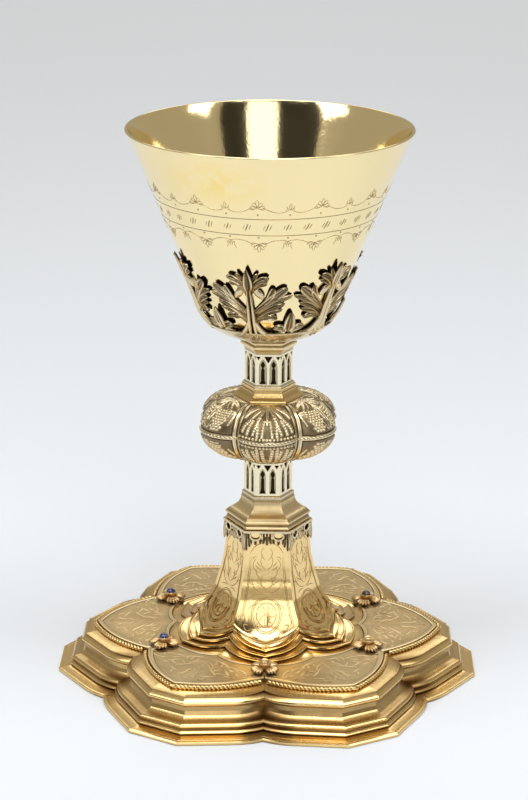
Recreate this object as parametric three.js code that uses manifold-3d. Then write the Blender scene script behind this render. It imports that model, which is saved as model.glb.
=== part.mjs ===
// A silver-gilt altar chalice in the neo-Gothic manner: a six-lobed moulded foot, a hexagonal
// trumpet and stem with tracery windows, a six-lobed knop, an openwork leaf calyx and a bowl.
// Millimetres, +Z up. The origin is on the table, under the middle of the foot.
// Azimuths start at the front (-Y) and turn towards the right (+X).
import * as THREE from 'three';
import { mergeVertices } from 'three/addons/utils/BufferGeometryUtils.js';
import Module from 'manifold-3d';

// What repeats round the axis
const LOBES = 6;                  // lobes of the foot, faces of the stem, lobes of the knop
const ROUND_SIDES = 28;           // sides of a round piece
const CLEAR = 0.3;                // air between pieces that lie beside each other

// Foot: a sheet raised into a moulded six-lobed tray
const FOOT_H = 15.6;              // table to the tray's top plane
const FOOT_TIP_R = 83.4;          // axis to the short straight edge at a lobe's tip
const FOOT_TIP_HALF = 10.8;       // half of that edge
const FOOT_SHOULDER_R = 30.5;     // round shoulder that ends in the notch
const FOOT_SHOULDER_OUT = 45.8;   // axis to that shoulder's middle, along the notch's line
const FOOT_NOTCH_SPARE = 1.6;     // by which the deepest inset of a shoulder still meets the next
const FOOT_WALL = 1.6;
const FLANGE_W = 4.1;             // flat rim that lies on the table
const FLANGE_H = 1.3;
const BEAD_H = 4.2;               // the two small rolls above the flange
const BEAD_GROOVE = 1.4;          // how deep the groove between them is
const HOLLOW_DEPTH = 4.4;         // how far the big hollow moulding goes in
const HOLLOW_H = 4.3;
const TORUS_BULGE = 2.1;          // roll over the hollow moulding
const TORUS_H = 4.4;
const SHELF_W = 2.4;              // sloping shelf from the roll to the top plane
const FLANGE_SLOPE = 0.4;         // the flange rises so much towards the rolls
const BEAD_TUCK = 0.3;            // the lower roll stands so far behind the flange's end
const FOOT_RING_W = 7.0;          // width of the ring that touches the table

// Trumpet: hexagonal, with three stepped mouldings round its base
const TRUMPET_H = 46.9;
const TRUMPET_WALL = 1.8;
const TRUMPET_BASE_KINK_R = 26.0; // trumpet's lower edge where two faces meet
const TRUMPET_BASE_KINK_H = 8.7;
const TRUMPET_BASE_CUSP_R = 31.0; // the same edge at the point of a face's shield
const TRUMPET_BASE_CUSP_H = 3.5;
const TRUMPET_WAIST_R = 16.9;     // corner radius at the narrowest
const TRUMPET_WAIST_H = 35.4;
const TRUMPET_TOP_R = 16.2;
const STEP_KINK_OUT = 9.9;        // the three steps reach so far out from that edge at a corner
const STEP_CUSP_OUT = 11.0;       // and so far at a point
const STEPS = 3;
const STEP_RISE = 1.4;            // height of the lowest step
const SHIELD_BELLY = 2.1;         // how soon the steps come near the width of their points
const SHIELD_POINT = 0.14;        // share of the way that is left to the point itself
const SHIELD_POINT_TIGHT = 8;     // how close to a face's middle that point begins
const SHIELD_STEPS = 3;           // points from a corner to a point
const STEP_NOSE = 0.6;            // a step's tread ends so far out from the edge above it
const STEP_TILT = 0.5;            // rise of that tread at a corner
const STEP_TILT_CUSP = 0.1;       // and at a point
const FLARE_POWER = 2.2;          // how fast the flare tightens towards the waist
const FLARE_SHARES = [0.16, 0.36, 0.62];    // heights of its rings, from the corner to the waist
const FOLD_H = 1.6;               // where the flat face bends out into the shield's point
const FOLD_OUT = 0.3;             // the bend's share of the way out to that point
const FOLD_DOWN = 0.62;           // and of the way down to it
const INSIDE_SHARES = [0.8, 0.45, 0.15];    // heights of the rings inside

// Cornice, the moulded roof between trumpet and stem, and the pierced apron that hangs below it
const CORNICE_H = 11.0;
const CORNICE_R = 16.9;           // corner radius of its fillet
const CORNICE_BAND_H = 3.3;
const CORNICE_GROOVE = 0.7;
const CORNICE_NECK_R = 10.3;      // where the stem's base stands
const CORNICE_SWEEP_H = 5.4;      // height of the hollow roof
const CORNICE_EDGE_H = 0.5;       // upright edge under the roof
const CORNICE_NECK_H = 1.0;
const APRON_R = 17.8;             // corner radius of the apron
const APRON_WALL = 0.7;
const APRON_H = 4.6;
const APRON_DROP = 3.8;           // pendants hang this much lower at the corners
const APRON_PENDANT_W = 1.5;      // half width of a pendant's foot
const APRON_CUSP = 1.1;           // depth of the scalloped hem
const APRON_TAPER = 0.4;          // a pendant narrows so much to its tip
const APRON_HOLE_SHARE = 0.26;    // a hole's place beside a face's middle, as a share of APRON_R
const APRON_HOLE_W = 3.3;
const APRON_HOLE_H = 2.6;
const APRON_HOLE_DROP = 1.9;      // top edge to the middle of a hole

// Stem, in two hexagonal drums with two lancet windows in each face
const STEM_LOWER_H = 17.0;
const STEM_LOWER_R = 9.55;
const STEM_UPPER_H = 13.5;
const STEM_UPPER_R = 9.3;
const STEM_FOOT_H = 1.0;          // fillet under a drum
const STEM_FOOT_OUT = 0.75;
const WINDOW_W = 1.9;
const WINDOW_DEPTH = 0.9;
const WINDOW_PITCH = 4.1;         // between the two windows of a face
const WINDOW_SILL = 1.3;          // drum's fillet to the windows
const WINDOW_HEAD = 2.9;          // windows' points to the drum's top
const WINDOW_ARCH = 2.2;          // height of the pointed head
const SPANDREL = 1.6;             // dark triangle between two heads
const SPANDREL_UP = 0.5;          // its top edge over the windows' points
const STEM_FOOT_SLOPE = 0.3;

// Knop: six swelling lobes, a twisted wire round its middle
const KNOP_LOWER_H = 12.3;        // lower pole to the widest
const KNOP_UPPER_H = 11.2;        // widest to the upper pole
const KNOP_LOBE_R = 12.7;
const KNOP_LOBE_OUT = 15.6;       // axis to the middle of a lobe
const KNOP_LOWER_POLE_R = 11.0;
const KNOP_UPPER_POLE_R = 13.4;
const KNOP_RELIEF = 0.45;         // height of the leaves and grapes on the lobes
const KNOP_BORDER = 0.22;         // plain border, as a share of a lobe
const KNOP_WIRE_R = 0.75;
const KNOP_STEPS = 8;             // points across one lobe
const KNOP_ROWS = 6;              // rows from a pole to the widest

// Cap over the knop and neck under the calyx, both hexagonal
const CAP_H = 5.0;
const CAP_R = 13.9;
const CAP_FILLET = 0.7;
const CAP_NECK_R = 10.6;
const CAP_NECK_H = 1.5;
const NECK_H = 6.2;
const NECK_R = 10.9;
const NECK_FLARE_H = 2.6;
const NECK_FILLET_H = 1.5;
const NECK_SLOPE = 0.6;           // from the fillet in to the seat
const NECK_SEAT_R = 10.2;

// Bowl: a cone with a round bottom and a lip that opens a little
const BOWL_H = 79.0;
const BOWL_RIM_R = 55.0;
const BOWL_WALL = 1.2;
const BOWL_SEAT_R = 9.0;          // flat disc that it stands on
const BOWL_BELLY_R = 28.0;        // end of the round bottom
const BOWL_BELLY_H = 14.0;
const BOWL_BELLY_PULL = 23.5;     // how full the round bottom is
const BOWL_LIP_R = 51.0;          // start of the opening lip
const BOWL_LIP_H = 9.0;           // below the rim
const BOWL_BELLY_STEPS = 4;
const BOWL_LIP_STEPS = 2;

// Calyx: a cast cup with six large and six small leaves that clasp the bowl
const CUP_FLOOR = 2.3;
const CUP_FOOT_R = 12.9;
const CUP_FOOT_H = 1.4;
const CUP_RIM_H = 2.6;            // above the floor
const CUP_RIM_W = 3.0;
const CUP_SIDES = 24;
const LEAF_GAP = 0.6;             // leaves to the bowl
const LEAF_TURN = -12.4;          // degrees from the front to the first large leaf
const LEAF_RIB = 0.8;             // how far the midrib stands out
const LEAF_STEM_T = [1.6, 2.6, 1.9];        // thickness up a leaf's stem, out of the cup
const LEAF_BLADE_T = 1.4;
const LEAF_POINT_T = 1.0;
const LEAF_POINT_HALF = 0.6;      // half the width of the point, in degrees
const LEAF_BAY = 0.62;            // half width between two lobes, as a share of the lobe below
const BIG_LEAF_H = 31.4;          // from the cup's floor to a large leaf's point
const BIG_LEAF_HALF = 28.5;       // half its greatest width, in degrees
const BIG_STEM_HALF = 8.5;
const BIG_LOBES = [               // height and reach of its lobes, as shares of the leaf's own
  { at: 0.5, reach: 0.8 },
  { at: 0.74, reach: 1.0 },
  { at: 0.91, reach: 0.45 },
];
const SMALL_LEAF_H = 14.6;
const SMALL_LEAF_HALF = 8.0;
const SMALL_STEM_HALF = 4.0;
const SMALL_LOBES = [{ at: 0.64, reach: 1.0 }];

// Six engraved plates on the foot's lobes, with a twisted wire along their outer edges
const PLATE_H = 1.8;
const PLATE_TIP_GAP = 1.4;        // foot's top plane to a plate's tip
const PLATE_NOTCH_GAP = 2.1;      // the same where two plates meet at a notch
const PLATE_SAG = 3.3;            // how far a plate's outer edges bow out
const PLATE_STEPS = 5;
const WIRE_R = 0.9;
const WIRE_SIDES = 3;             // section of a twisted wire
const WIRE_TWIST = 40;            // degrees that it turns from one step to the next

// Six flowers with a claw setting and a round stone, over the joints of the plates
const FLOWER_GAP = 4.4;           // point of the lowest step to the flower's middle
const PETAL_OUT = 6.0;            // flower's middle to a petal's end
const PETAL_H = 1.6;
const PETAL_VALLEY_W = 0.4;       // what lies round the claw between two petals
const CLAW_R = 1.9;
const CLAW_H = 2.8;
const STONE_R = 1.95;
const STONE_H = 2.1;
const STONE_SIDES = 7;

// Heights of the seats, each piece on the one below
const APRON_TOP_Z = FOOT_H + TRUMPET_H;
const STEM_Z = APRON_TOP_Z + CORNICE_H;
const KNOP_Z = STEM_Z + STEM_LOWER_H;
const KNOP_MID_Z = KNOP_Z + KNOP_LOWER_H;
const CAP_Z = KNOP_MID_Z + KNOP_UPPER_H;
const STEM_UPPER_Z = CAP_Z + CAP_H;
const NECK_Z = STEM_UPPER_Z + STEM_UPPER_H;
const CALYX_Z = NECK_Z + NECK_H;
const BOWL_Z = CALYX_Z + CUP_FLOOR;
const PLATE_TOP_Z = FOOT_H + PLATE_H;
const STONE_Z = PLATE_TOP_Z + CLAW_H;

const SECTOR = 2 * Math.PI / LOBES;
const HALF_SECTOR = SECTOR / 2;
const deg = THREE.MathUtils.degToRad;
const { lerp } = THREE.MathUtils;

const wasm = await Module();
wasm.setup();

const GOLD = { color: 0xcfa457, roughness: 0.34, metalness: 1 };
const finishes = {
  bowl: { color: 0xe3c583, roughness: 0.3, metalness: 1 },
  pale: { color: 0xd0b27a, roughness: 0.36, metalness: 1 },
  cast: { color: 0xa98f62, roughness: 0.48, metalness: 1 },
  foot: GOLD,
  plate: { color: 0xb99c66, roughness: 0.45, metalness: 1 },
  blueStone: { color: 0x27346e, roughness: 0.08, metalness: 0 },
  clearStone: { color: 0xd9dcd6, roughness: 0.06, metalness: 0 },
  darkStone: { color: 0x33291f, roughness: 0.1, metalness: 0 },
};

const chalice = new THREE.Group();

// Hangs a named piece with its own material in a group, by default the chalice itself.
function add(name, geometry, finish, parent = chalice) {
  const mesh = new THREE.Mesh(geometry, new THREE.MeshStandardMaterial(finishes[finish]));
  mesh.name = name;
  parent.add(mesh);
  return mesh;
}

// A point by radius, azimuth from the front and height.
function polar(r, azimuth, z) {
  return new THREE.Vector3(r * Math.sin(azimuth), -r * Math.cos(azimuth), z);
}

// Indexed geometry out of points and faces.
function geometryOf(points, faces) {
  const geometry = new THREE.BufferGeometry();
  geometry.setFromPoints(points);
  geometry.setIndex(faces);
  return geometry;
}

// A closed body as a solid for cutting and joining.
function solidOf(geometry) {
  const bare = geometry.clone();
  bare.deleteAttribute('normal');
  bare.deleteAttribute('uv');
  const merged = mergeVertices(bare, 1e-4);
  return new wasm.Manifold(new wasm.Mesh({
    numProp: 3,
    vertProperties: new Float32Array(merged.attributes.position.array),
    triVerts: new Uint32Array(merged.index.array),
  }));
}

function geometryFrom(solid) {
  const { vertProperties, triVerts } = solid.getMesh();
  const geometry = new THREE.BufferGeometry();
  geometry.setAttribute('position', new THREE.BufferAttribute(vertProperties, 3));
  geometry.setIndex(new THREE.BufferAttribute(triVerts, 1));
  return geometry;
}

function joined(geometries) {
  return geometries.map(solidOf).reduce((whole, piece) => whole.add(piece));
}

// Azimuths of a ring's points, growing all the way round and back to the first.
function ringAzimuths(ring) {
  const turns = ring.map((p) => Math.atan2(p.x, -p.y));
  turns.forEach((_, i) => {
    const least = (i ? turns[i - 1] : 0) - 1e-6;
    while (turns[i] < least) turns[i] += 2 * Math.PI;
  });
  return [...turns, turns[0] + 2 * Math.PI];
}

// Faces between two closed rings of points. Rings of one length pair by number. Otherwise the
// step with the smaller difference of azimuth comes next.
function stitch(lower, upper, lowerStart, upperStart, faces) {
  const paired = lower.length === upper.length;
  const a = ringAzimuths(lower);
  const b = ringAzimuths(upper);
  let i = 0;
  let j = 0;
  while (i < lower.length || j < upper.length) {
    const nearer = paired ? i === j : a[i + 1] - b[j] <= b[j + 1] - a[i];
    const moveLower = i < lower.length && (nearer || j === upper.length);
    const from = lowerStart + (i % lower.length);
    const above = upperStart + (j % upper.length);
    if (moveLower) {
      i += 1;
      faces.push(from, lowerStart + (i % lower.length), above);
    } else {
      j += 1;
      faces.push(from, upperStart + (j % upper.length), above);
    }
  }
}

// A body skinned over rings that each turn round the axis. An open one is closed by a fan at its
// first and its last ring; one that returns to its start is stitched there instead.
function ringBody(rings, returns = false) {
  const points = rings.flat();
  const starts = [];
  rings.reduce((start, ring) => {
    starts.push(start);
    return start + ring.length;
  }, 0);
  const faces = [];
  for (let k = 0; k + 1 < rings.length; k += 1) {
    stitch(rings[k], rings[k + 1], starts[k], starts[k + 1], faces);
  }
  const last = rings.length - 1;
  if (returns) {
    stitch(rings[last], rings[0], starts[last], starts[0], faces);
  } else {
    const fan = (ring, start, up) => {
      const middle = points.length;
      const sum = ring.reduce((whole, p) => whole.add(p), new THREE.Vector3());
      points.push(sum.divideScalar(ring.length));
      ring.forEach((_, i) => {
        const next = start + ((i + 1) % ring.length);
        faces.push(middle, up ? start + i : next, up ? next : start + i);
      });
    };
    fan(rings[0], starts[0], false);
    fan(rings[last], starts[last], true);
  }
  return geometryOf(points, faces);
}

function roundRing(r, z, sides = ROUND_SIDES) {
  return Array.from({ length: sides }, (_, i) => polar(r, i * 2 * Math.PI / sides, z));
}

function hexRing(cornerR, z) {
  return Array.from({ length: LOBES }, (_, k) => polar(cornerR, HALF_SECTOR + k * SECTOR, z));
}

// Turned body from a profile of radius and height, about +Z.
function lathe(profile, sides = ROUND_SIDES) {
  const geometry = new THREE.LatheGeometry(profile, sides);
  geometry.rotateX(Math.PI / 2);
  return geometry;
}

// One piece per lobe or notch: the geometry is built for azimuth 0 and its group turns it.
function aroundAxis(azimuth) {
  const group = new THREE.Group();
  group.rotation.z = azimuth;
  chalice.add(group);
  return group;
}

// Foot

const beadFoot = FLANGE_H + FLANGE_SLOPE;
const beadTop = beadFoot + BEAD_H;
const hollowTop = beadTop + HOLLOW_H;
const hollowIn = FLANGE_W + 2 * BEAD_GROOVE + HOLLOW_DEPTH;
const torusTop = hollowTop + TORUS_H;
const footIn = hollowIn + SHELF_W;

// A shoulder's middle in a lobe's own directions, far enough aside that the deepest inset of two
// neighbours still meets. The straight side runs from the tip's corner to the shoulder's tangent.
const shoulderAside = FOOT_SHOULDER_R - (footIn + FOOT_WALL + FOOT_NOTCH_SPARE);
const footShoulder = new THREE.Vector2(
  FOOT_SHOULDER_OUT * Math.cos(HALF_SECTOR) + shoulderAside * Math.sin(HALF_SECTOR),
  FOOT_SHOULDER_OUT * Math.sin(HALF_SECTOR) - shoulderAside * Math.cos(HALF_SECTOR),
);
const cornerAway = new THREE.Vector2(FOOT_TIP_R, FOOT_TIP_HALF).sub(footShoulder);
const footSideTurn = Math.atan2(cornerAway.y, cornerAway.x)
  + Math.acos(FOOT_SHOULDER_R / cornerAway.length());

// Radius of the notch when the outline is inset by d.
function notchR(d) {
  return FOOT_SHOULDER_OUT + Math.sqrt((FOOT_SHOULDER_R - d) ** 2 - shoulderAside ** 2);
}

// One lobe's outline, inset by d, from the notch before it to its far shoulder: u points
// outwards along the lobe and v sideways. Corners stay mitred, shoulders stay round.
function lobeOutline(d) {
  const corner = new THREE.Vector2(
    FOOT_TIP_R - d, FOOT_TIP_HALF - d * Math.tan(footSideTurn / 2),
  );
  const middle = footShoulder;
  const r = FOOT_SHOULDER_R - d;
  const notch = new THREE.Vector2(notchR(d) * Math.cos(HALF_SECTOR), notchR(d) * Math.sin(HALF_SECTOR));
  const end = Math.atan2(notch.y - middle.y, notch.x - middle.x);
  const shoulder = [0, 1 / 2].map((share) => {
    const angle = lerp(footSideTurn, end, share);
    return new THREE.Vector2(middle.x + r * Math.cos(angle), middle.y + r * Math.sin(angle));
  });
  const half = [corner, ...shoulder, notch];
  const mirrored = half.map((p) => new THREE.Vector2(p.x, -p.y)).reverse();
  return [...mirrored, ...half.slice(0, -1)];
}

function footRing(d, z) {
  return Array.from({ length: LOBES }, (_, k) => lobeOutline(d).map((p) => (
    polar(p.length(), HALF_SECTOR + k * SECTOR + Math.atan2(p.y, p.x), z)
  ))).flat();
}

// Outer profile as inset and height, from the table up to the top plane.
const footProfile = [
  [0, 0],
  [0, FLANGE_H],
  [FLANGE_W, beadFoot],
  [FLANGE_W + BEAD_TUCK, beadFoot + BEAD_H / 3],
  [FLANGE_W + BEAD_TUCK + BEAD_GROOVE, beadFoot + BEAD_H / 2],
  [FLANGE_W + BEAD_GROOVE, beadFoot + BEAD_H * 4 / 5],
  [FLANGE_W + 2 * BEAD_GROOVE, beadTop],
  [hollowIn - HOLLOW_DEPTH / 3, beadTop + HOLLOW_H / 3],
  [hollowIn, hollowTop],
  [hollowIn - TORUS_BULGE * 5 / 6, hollowTop + TORUS_H / 4],
  [hollowIn - TORUS_BULGE, hollowTop + TORUS_H / 2],
  [hollowIn, torusTop],
  [footIn, FOOT_H],
];

// The same steps from inside, one wall behind, simpler. They end in the ring on the table.
const footHoleR = TRUMPET_BASE_KINK_R + STEP_KINK_OUT - 3 * FOOT_WALL;
const footInside = [
  [footIn + FOOT_WALL, FOOT_H - FOOT_WALL],
  [hollowIn - TORUS_BULGE + 2 * FOOT_WALL, hollowTop + TORUS_H / 2],
  [FOOT_RING_W + FOOT_WALL, beadTop - FOOT_WALL],
  [FOOT_RING_W, 0],
];

add('foot', ringBody([
  ...footProfile.map(([d, z]) => footRing(d, z)),
  roundRing(footHoleR, FOOT_H),
  roundRing(footHoleR, FOOT_H - FOOT_WALL),
  ...footInside.map(([d, z]) => footRing(d, z)),
], true), 'foot');

// Trumpet

// Share of the way from a corner (0) to the middle of a face (1): a round belly, then a point.
function shield(t) {
  const belly = 1 - (1 - t) ** SHIELD_BELLY;
  return lerp(belly, t ** SHIELD_POINT_TIGHT, SHIELD_POINT);
}

// A ring that has one radius and height at its corners and others at its faces' middles.
function shieldRing(corner, middle, steps = SHIELD_STEPS) {
  return Array.from({ length: 2 * steps * LOBES }, (_, i) => {
    const share = shield(Math.abs(1 - (i % (2 * steps)) / steps));
    const azimuth = i / (2 * steps) * SECTOR;
    return polar(lerp(corner.r, middle.r, share), azimuth, lerp(corner.z, middle.z, share));
  });
}

// A ring over flat faces: their middles lie a hexagon's flat inside the corners.
function facedRing(cornerR, z) {
  return shieldRing({ r: cornerR, z }, { r: cornerR * Math.cos(HALF_SECTOR), z }, 1);
}

// Radius of the trumpet's corners above its lower edge, a flare that tightens to the waist.
function trumpetR(h) {
  const t = Math.min(1, (h - TRUMPET_BASE_KINK_H) / (TRUMPET_WAIST_H - TRUMPET_BASE_KINK_H));
  return lerp(TRUMPET_BASE_KINK_R, TRUMPET_WAIST_R, 1 - (1 - t) ** FLARE_POWER);
}

const trumpetEdge = {
  corner: { r: TRUMPET_BASE_KINK_R, z: FOOT_H + TRUMPET_BASE_KINK_H },
  middle: { r: TRUMPET_BASE_CUSP_R, z: FOOT_H + TRUMPET_BASE_CUSP_H },
};

// Step n's edge: 0 is the trumpet's own edge and STEPS is the lowest step, on the foot.
function stepEdge(n, lift) {
  const share = n / STEPS;
  const down = (from) => lerp(from, FOOT_H + STEP_RISE, share) + lift;
  return [
    { r: TRUMPET_BASE_KINK_R + share * STEP_KINK_OUT, z: down(trumpetEdge.corner.z) },
    { r: TRUMPET_BASE_CUSP_R + share * STEP_CUSP_OUT, z: down(trumpetEdge.middle.z) },
  ];
}

const stepRings = [];
for (let n = STEPS; n > 0; n -= 1) {
  const [corner, middle] = stepEdge(n, 0);
  const [above, aboveMiddle] = stepEdge(n - 1, 0);
  stepRings.push(shieldRing(corner, middle));
  stepRings.push(shieldRing({ r: above.r + STEP_NOSE, z: corner.z + STEP_TILT },
    { r: aboveMiddle.r + STEP_NOSE, z: middle.z + STEP_TILT_CUSP }));
}

const trumpetFlare = FLARE_SHARES.map((share) => {
  const h = lerp(TRUMPET_BASE_KINK_H, TRUMPET_WAIST_H, share);
  return facedRing(trumpetR(h), FOOT_H + h);
});
const trumpetFoldR = trumpetR(TRUMPET_BASE_KINK_H + FOLD_H);
const trumpetFold = shieldRing(
  { r: trumpetFoldR, z: trumpetEdge.corner.z + FOLD_H },
  { r: lerp(trumpetFoldR * Math.cos(HALF_SECTOR), TRUMPET_BASE_CUSP_R, FOLD_OUT),
    z: lerp(trumpetEdge.corner.z + FOLD_H, trumpetEdge.middle.z, FOLD_DOWN) },
);
const trumpetInside = INSIDE_SHARES.map((share) => {
  const h = lerp(TRUMPET_BASE_KINK_H, TRUMPET_WAIST_H, share);
  return hexRing(trumpetR(h) - TRUMPET_WALL / Math.cos(HALF_SECTOR), FOOT_H + h);
});
const lowestStep = stepEdge(STEPS, -STEP_RISE);

add('trumpet', ringBody([
  hexRing(TRUMPET_WAIST_R - 2 * TRUMPET_WALL, APRON_TOP_Z - APRON_H),
  ...trumpetInside,
  hexRing(footHoleR, FOOT_H),
  shieldRing(...lowestStep),
  ...stepRings,
  shieldRing(trumpetEdge.corner, trumpetEdge.middle),
  trumpetFold,
  ...trumpetFlare,
  hexRing(TRUMPET_WAIST_R, FOOT_H + TRUMPET_WAIST_H),
  hexRing(TRUMPET_TOP_R, APRON_TOP_Z - APRON_H - APRON_DROP),
  hexRing(TRUMPET_TOP_R, APRON_TOP_Z),
]), 'foot');

// Cornice and apron

const roofZ = STEM_Z - CORNICE_SWEEP_H;
const bandZ = APRON_TOP_Z + CORNICE_BAND_H;
add('cornice', ringBody([
  hexRing(CORNICE_R - CORNICE_GROOVE / 2, APRON_TOP_Z),
  hexRing(CORNICE_R - CORNICE_GROOVE / 2, APRON_TOP_Z + CORNICE_BAND_H / 3),
  hexRing(CORNICE_R - CORNICE_GROOVE, APRON_TOP_Z + CORNICE_BAND_H / 2),
  hexRing(CORNICE_R, APRON_TOP_Z + CORNICE_BAND_H * 4 / 5),
  hexRing(CORNICE_R, bandZ + CORNICE_EDGE_H),
  hexRing(lerp(CORNICE_NECK_R, CORNICE_R, 2 / 3), lerp(bandZ, roofZ, 4 / 5)),
  hexRing(lerp(CORNICE_NECK_R, CORNICE_R, 1 / 4), lerp(roofZ, STEM_Z, 1 / 3)),
  hexRing(CORNICE_NECK_R, STEM_Z - CORNICE_NECK_H),
  hexRing(CORNICE_NECK_R, STEM_Z),
]), 'pale');

// A prism out of a shape drawn in the plane of a face (x along it, y up), pushed outwards
// from the given distance to the axis, for the face at the given azimuth.
function facePrism(shape, from, depth, azimuth) {
  const geometry = new THREE.ExtrudeGeometry(shape, { depth, bevelEnabled: false, curveSegments: 3 });
  geometry.translate(0, 0, from);
  geometry.rotateX(Math.PI / 2);
  geometry.rotateZ(azimuth);
  return geometry;
}

function apronHole(x) {
  return new THREE.Shape().absellipse(
    x, APRON_TOP_Z - APRON_HOLE_DROP, APRON_HOLE_W / 2, APRON_HOLE_H / 2, 0, 2 * Math.PI,
  );
}

// What is cut away between two pendants, up to the scalloped hem with a point in the middle.
function apronHem() {
  const side = APRON_R * 2 * Math.sin(HALF_SECTOR);
  const hemZ = APRON_TOP_Z - APRON_H;
  const low = hemZ - 2 * APRON_DROP;
  const half = side / 2 - APRON_PENDANT_W;
  const shape = new THREE.Shape();
  shape.moveTo(-half - APRON_TAPER, low);
  shape.lineTo(half + APRON_TAPER, low);
  shape.lineTo(half, hemZ - APRON_DROP / 2);
  shape.lineTo(half / 2, hemZ + APRON_CUSP);
  shape.lineTo(0, hemZ);
  shape.lineTo(-half / 2, hemZ + APRON_CUSP);
  shape.lineTo(-half, hemZ - APRON_DROP / 2);
  return shape;
}

const apronLow = APRON_TOP_Z - APRON_H - APRON_DROP;
const apronRing = solidOf(ringBody([
  hexRing(APRON_R - APRON_WALL, APRON_TOP_Z),
  hexRing(APRON_R - APRON_WALL, apronLow),
  hexRing(APRON_R, apronLow),
  hexRing(APRON_R, APRON_TOP_Z),
], true));
const apronCuts = [];
for (let k = 0; k < LOBES; k += 1) {
  const flat = APRON_R * Math.cos(HALF_SECTOR) - 2 * APRON_WALL;
  const aside = APRON_HOLE_SHARE * APRON_R;
  const shapes = [apronHem(), apronHole(-aside), apronHole(aside)];
  shapes.forEach((shape) => apronCuts.push(facePrism(shape, flat, 3 * APRON_WALL, k * SECTOR)));
}
add('apron', geometryFrom(apronRing.subtract(joined(apronCuts))), 'pale');

// Stem

// Outline of a lancet window that stands on z at x.
function lancet(x, z, height) {
  const half = WINDOW_W / 2;
  const shape = new THREE.Shape();
  shape.moveTo(x - half, z);
  shape.lineTo(x + half, z);
  shape.lineTo(x + half, z + height - WINDOW_ARCH);
  shape.lineTo(x, z + height);
  shape.lineTo(x - half, z + height - WINDOW_ARCH);
  return shape;
}

// The triangle between the two heads, hanging from z.
function spandrel(z) {
  const shape = new THREE.Shape();
  shape.moveTo(0, z - SPANDREL);
  shape.lineTo(SPANDREL / 2, z);
  shape.lineTo(-SPANDREL / 2, z);
  return shape;
}

function stemDrum(z, height, cornerR) {
  const drum = solidOf(ringBody([
    hexRing(cornerR + STEM_FOOT_OUT, z),
    hexRing(cornerR + STEM_FOOT_OUT, z + STEM_FOOT_H),
    hexRing(cornerR, z + STEM_FOOT_H + STEM_FOOT_SLOPE),
    hexRing(cornerR, z + height),
  ]));
  const sill = z + STEM_FOOT_H + WINDOW_SILL;
  const windowH = height - STEM_FOOT_H - WINDOW_SILL - WINDOW_HEAD;
  const flat = cornerR * Math.cos(HALF_SECTOR) - WINDOW_DEPTH;
  const shapes = [
    lancet(-WINDOW_PITCH / 2, sill, windowH),
    lancet(WINDOW_PITCH / 2, sill, windowH),
    spandrel(sill + windowH + SPANDREL_UP),
  ];
  const cuts = [];
  for (let k = 0; k < LOBES; k += 1) {
    shapes.forEach((shape) => cuts.push(facePrism(shape, flat, 2 * WINDOW_DEPTH, k * SECTOR)));
  }
  return geometryFrom(drum.subtract(joined(cuts)));
}

add('stem_lower', stemDrum(STEM_Z, STEM_LOWER_H, STEM_LOWER_R), 'pale');
add('stem_upper', stemDrum(STEM_UPPER_Z, STEM_UPPER_H, STEM_UPPER_R), 'pale');

// Knop

// Radius of the lobed outline at its widest, a share s of -1 to 1 across a lobe.
function knopOutlineR(s) {
  const angle = s * HALF_SECTOR;
  const aside = KNOP_LOBE_OUT * Math.sin(angle);
  return KNOP_LOBE_OUT * Math.cos(angle) + Math.sqrt(KNOP_LOBE_R ** 2 - aside ** 2);
}

// Relief on a lobe: leaves in ribs on every second lobe, grapes in beads on the others.
function knopRelief(lobe, column, row, s) {
  const inside = Math.abs(s) < 1 - KNOP_BORDER && row > 0 && row < KNOP_ROWS - 1;
  const beads = lobe % 2 ? column + row : column;
  return inside && beads % 2 ? KNOP_RELIEF : 0;
}

// A ring at a share of the way from the widest (0) to a pole (1).
function knopRing(row, height, poleR) {
  const angle = row / KNOP_ROWS * Math.PI / 2;
  const points = [];
  for (let i = 0; i < LOBES * KNOP_STEPS; i += 1) {
    const lobe = Math.floor(i / KNOP_STEPS);
    const column = i % KNOP_STEPS;
    const s = 2 * column / KNOP_STEPS - 1;
    const r = lerp(poleR, knopOutlineR(s), Math.cos(angle)) + knopRelief(lobe, column, row, s);
    points.push(polar(r, (lobe + s / 2) * SECTOR, KNOP_MID_Z + height * Math.sin(angle)));
  }
  return points;
}

const knopRings = [];
for (let row = KNOP_ROWS; row > 0; row -= 1) {
  knopRings.push(knopRing(row, -KNOP_LOWER_H, KNOP_LOWER_POLE_R));
}
for (let row = 1; row <= KNOP_ROWS; row += 1) {
  knopRings.push(knopRing(row, KNOP_UPPER_H, KNOP_UPPER_POLE_R));
}
add('knop', ringBody(knopRings), 'cast');

add('knop_cap', ringBody([
  hexRing(CAP_R, CAP_Z),
  hexRing(CAP_R, CAP_Z + CAP_FILLET),
  hexRing(lerp(CAP_NECK_R, CAP_R, 1 / 3), CAP_Z + CAP_H / 2),
  hexRing(CAP_NECK_R, CAP_Z + CAP_H - CAP_NECK_H),
  hexRing(CAP_NECK_R, CAP_Z + CAP_H),
]), 'pale');

add('neck', ringBody([
  hexRing(STEM_UPPER_R, NECK_Z),
  hexRing(lerp(STEM_UPPER_R, NECK_R, 1 / 3), NECK_Z + NECK_FLARE_H * 3 / 5),
  hexRing(NECK_R, NECK_Z + NECK_FLARE_H),
  hexRing(NECK_R, NECK_Z + NECK_FLARE_H + NECK_FILLET_H),
  hexRing(NECK_SEAT_R, NECK_Z + NECK_FLARE_H + NECK_FILLET_H + NECK_SLOPE),
  hexRing(NECK_SEAT_R, CALYX_Z),
]), 'pale');

// Bowl

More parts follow.
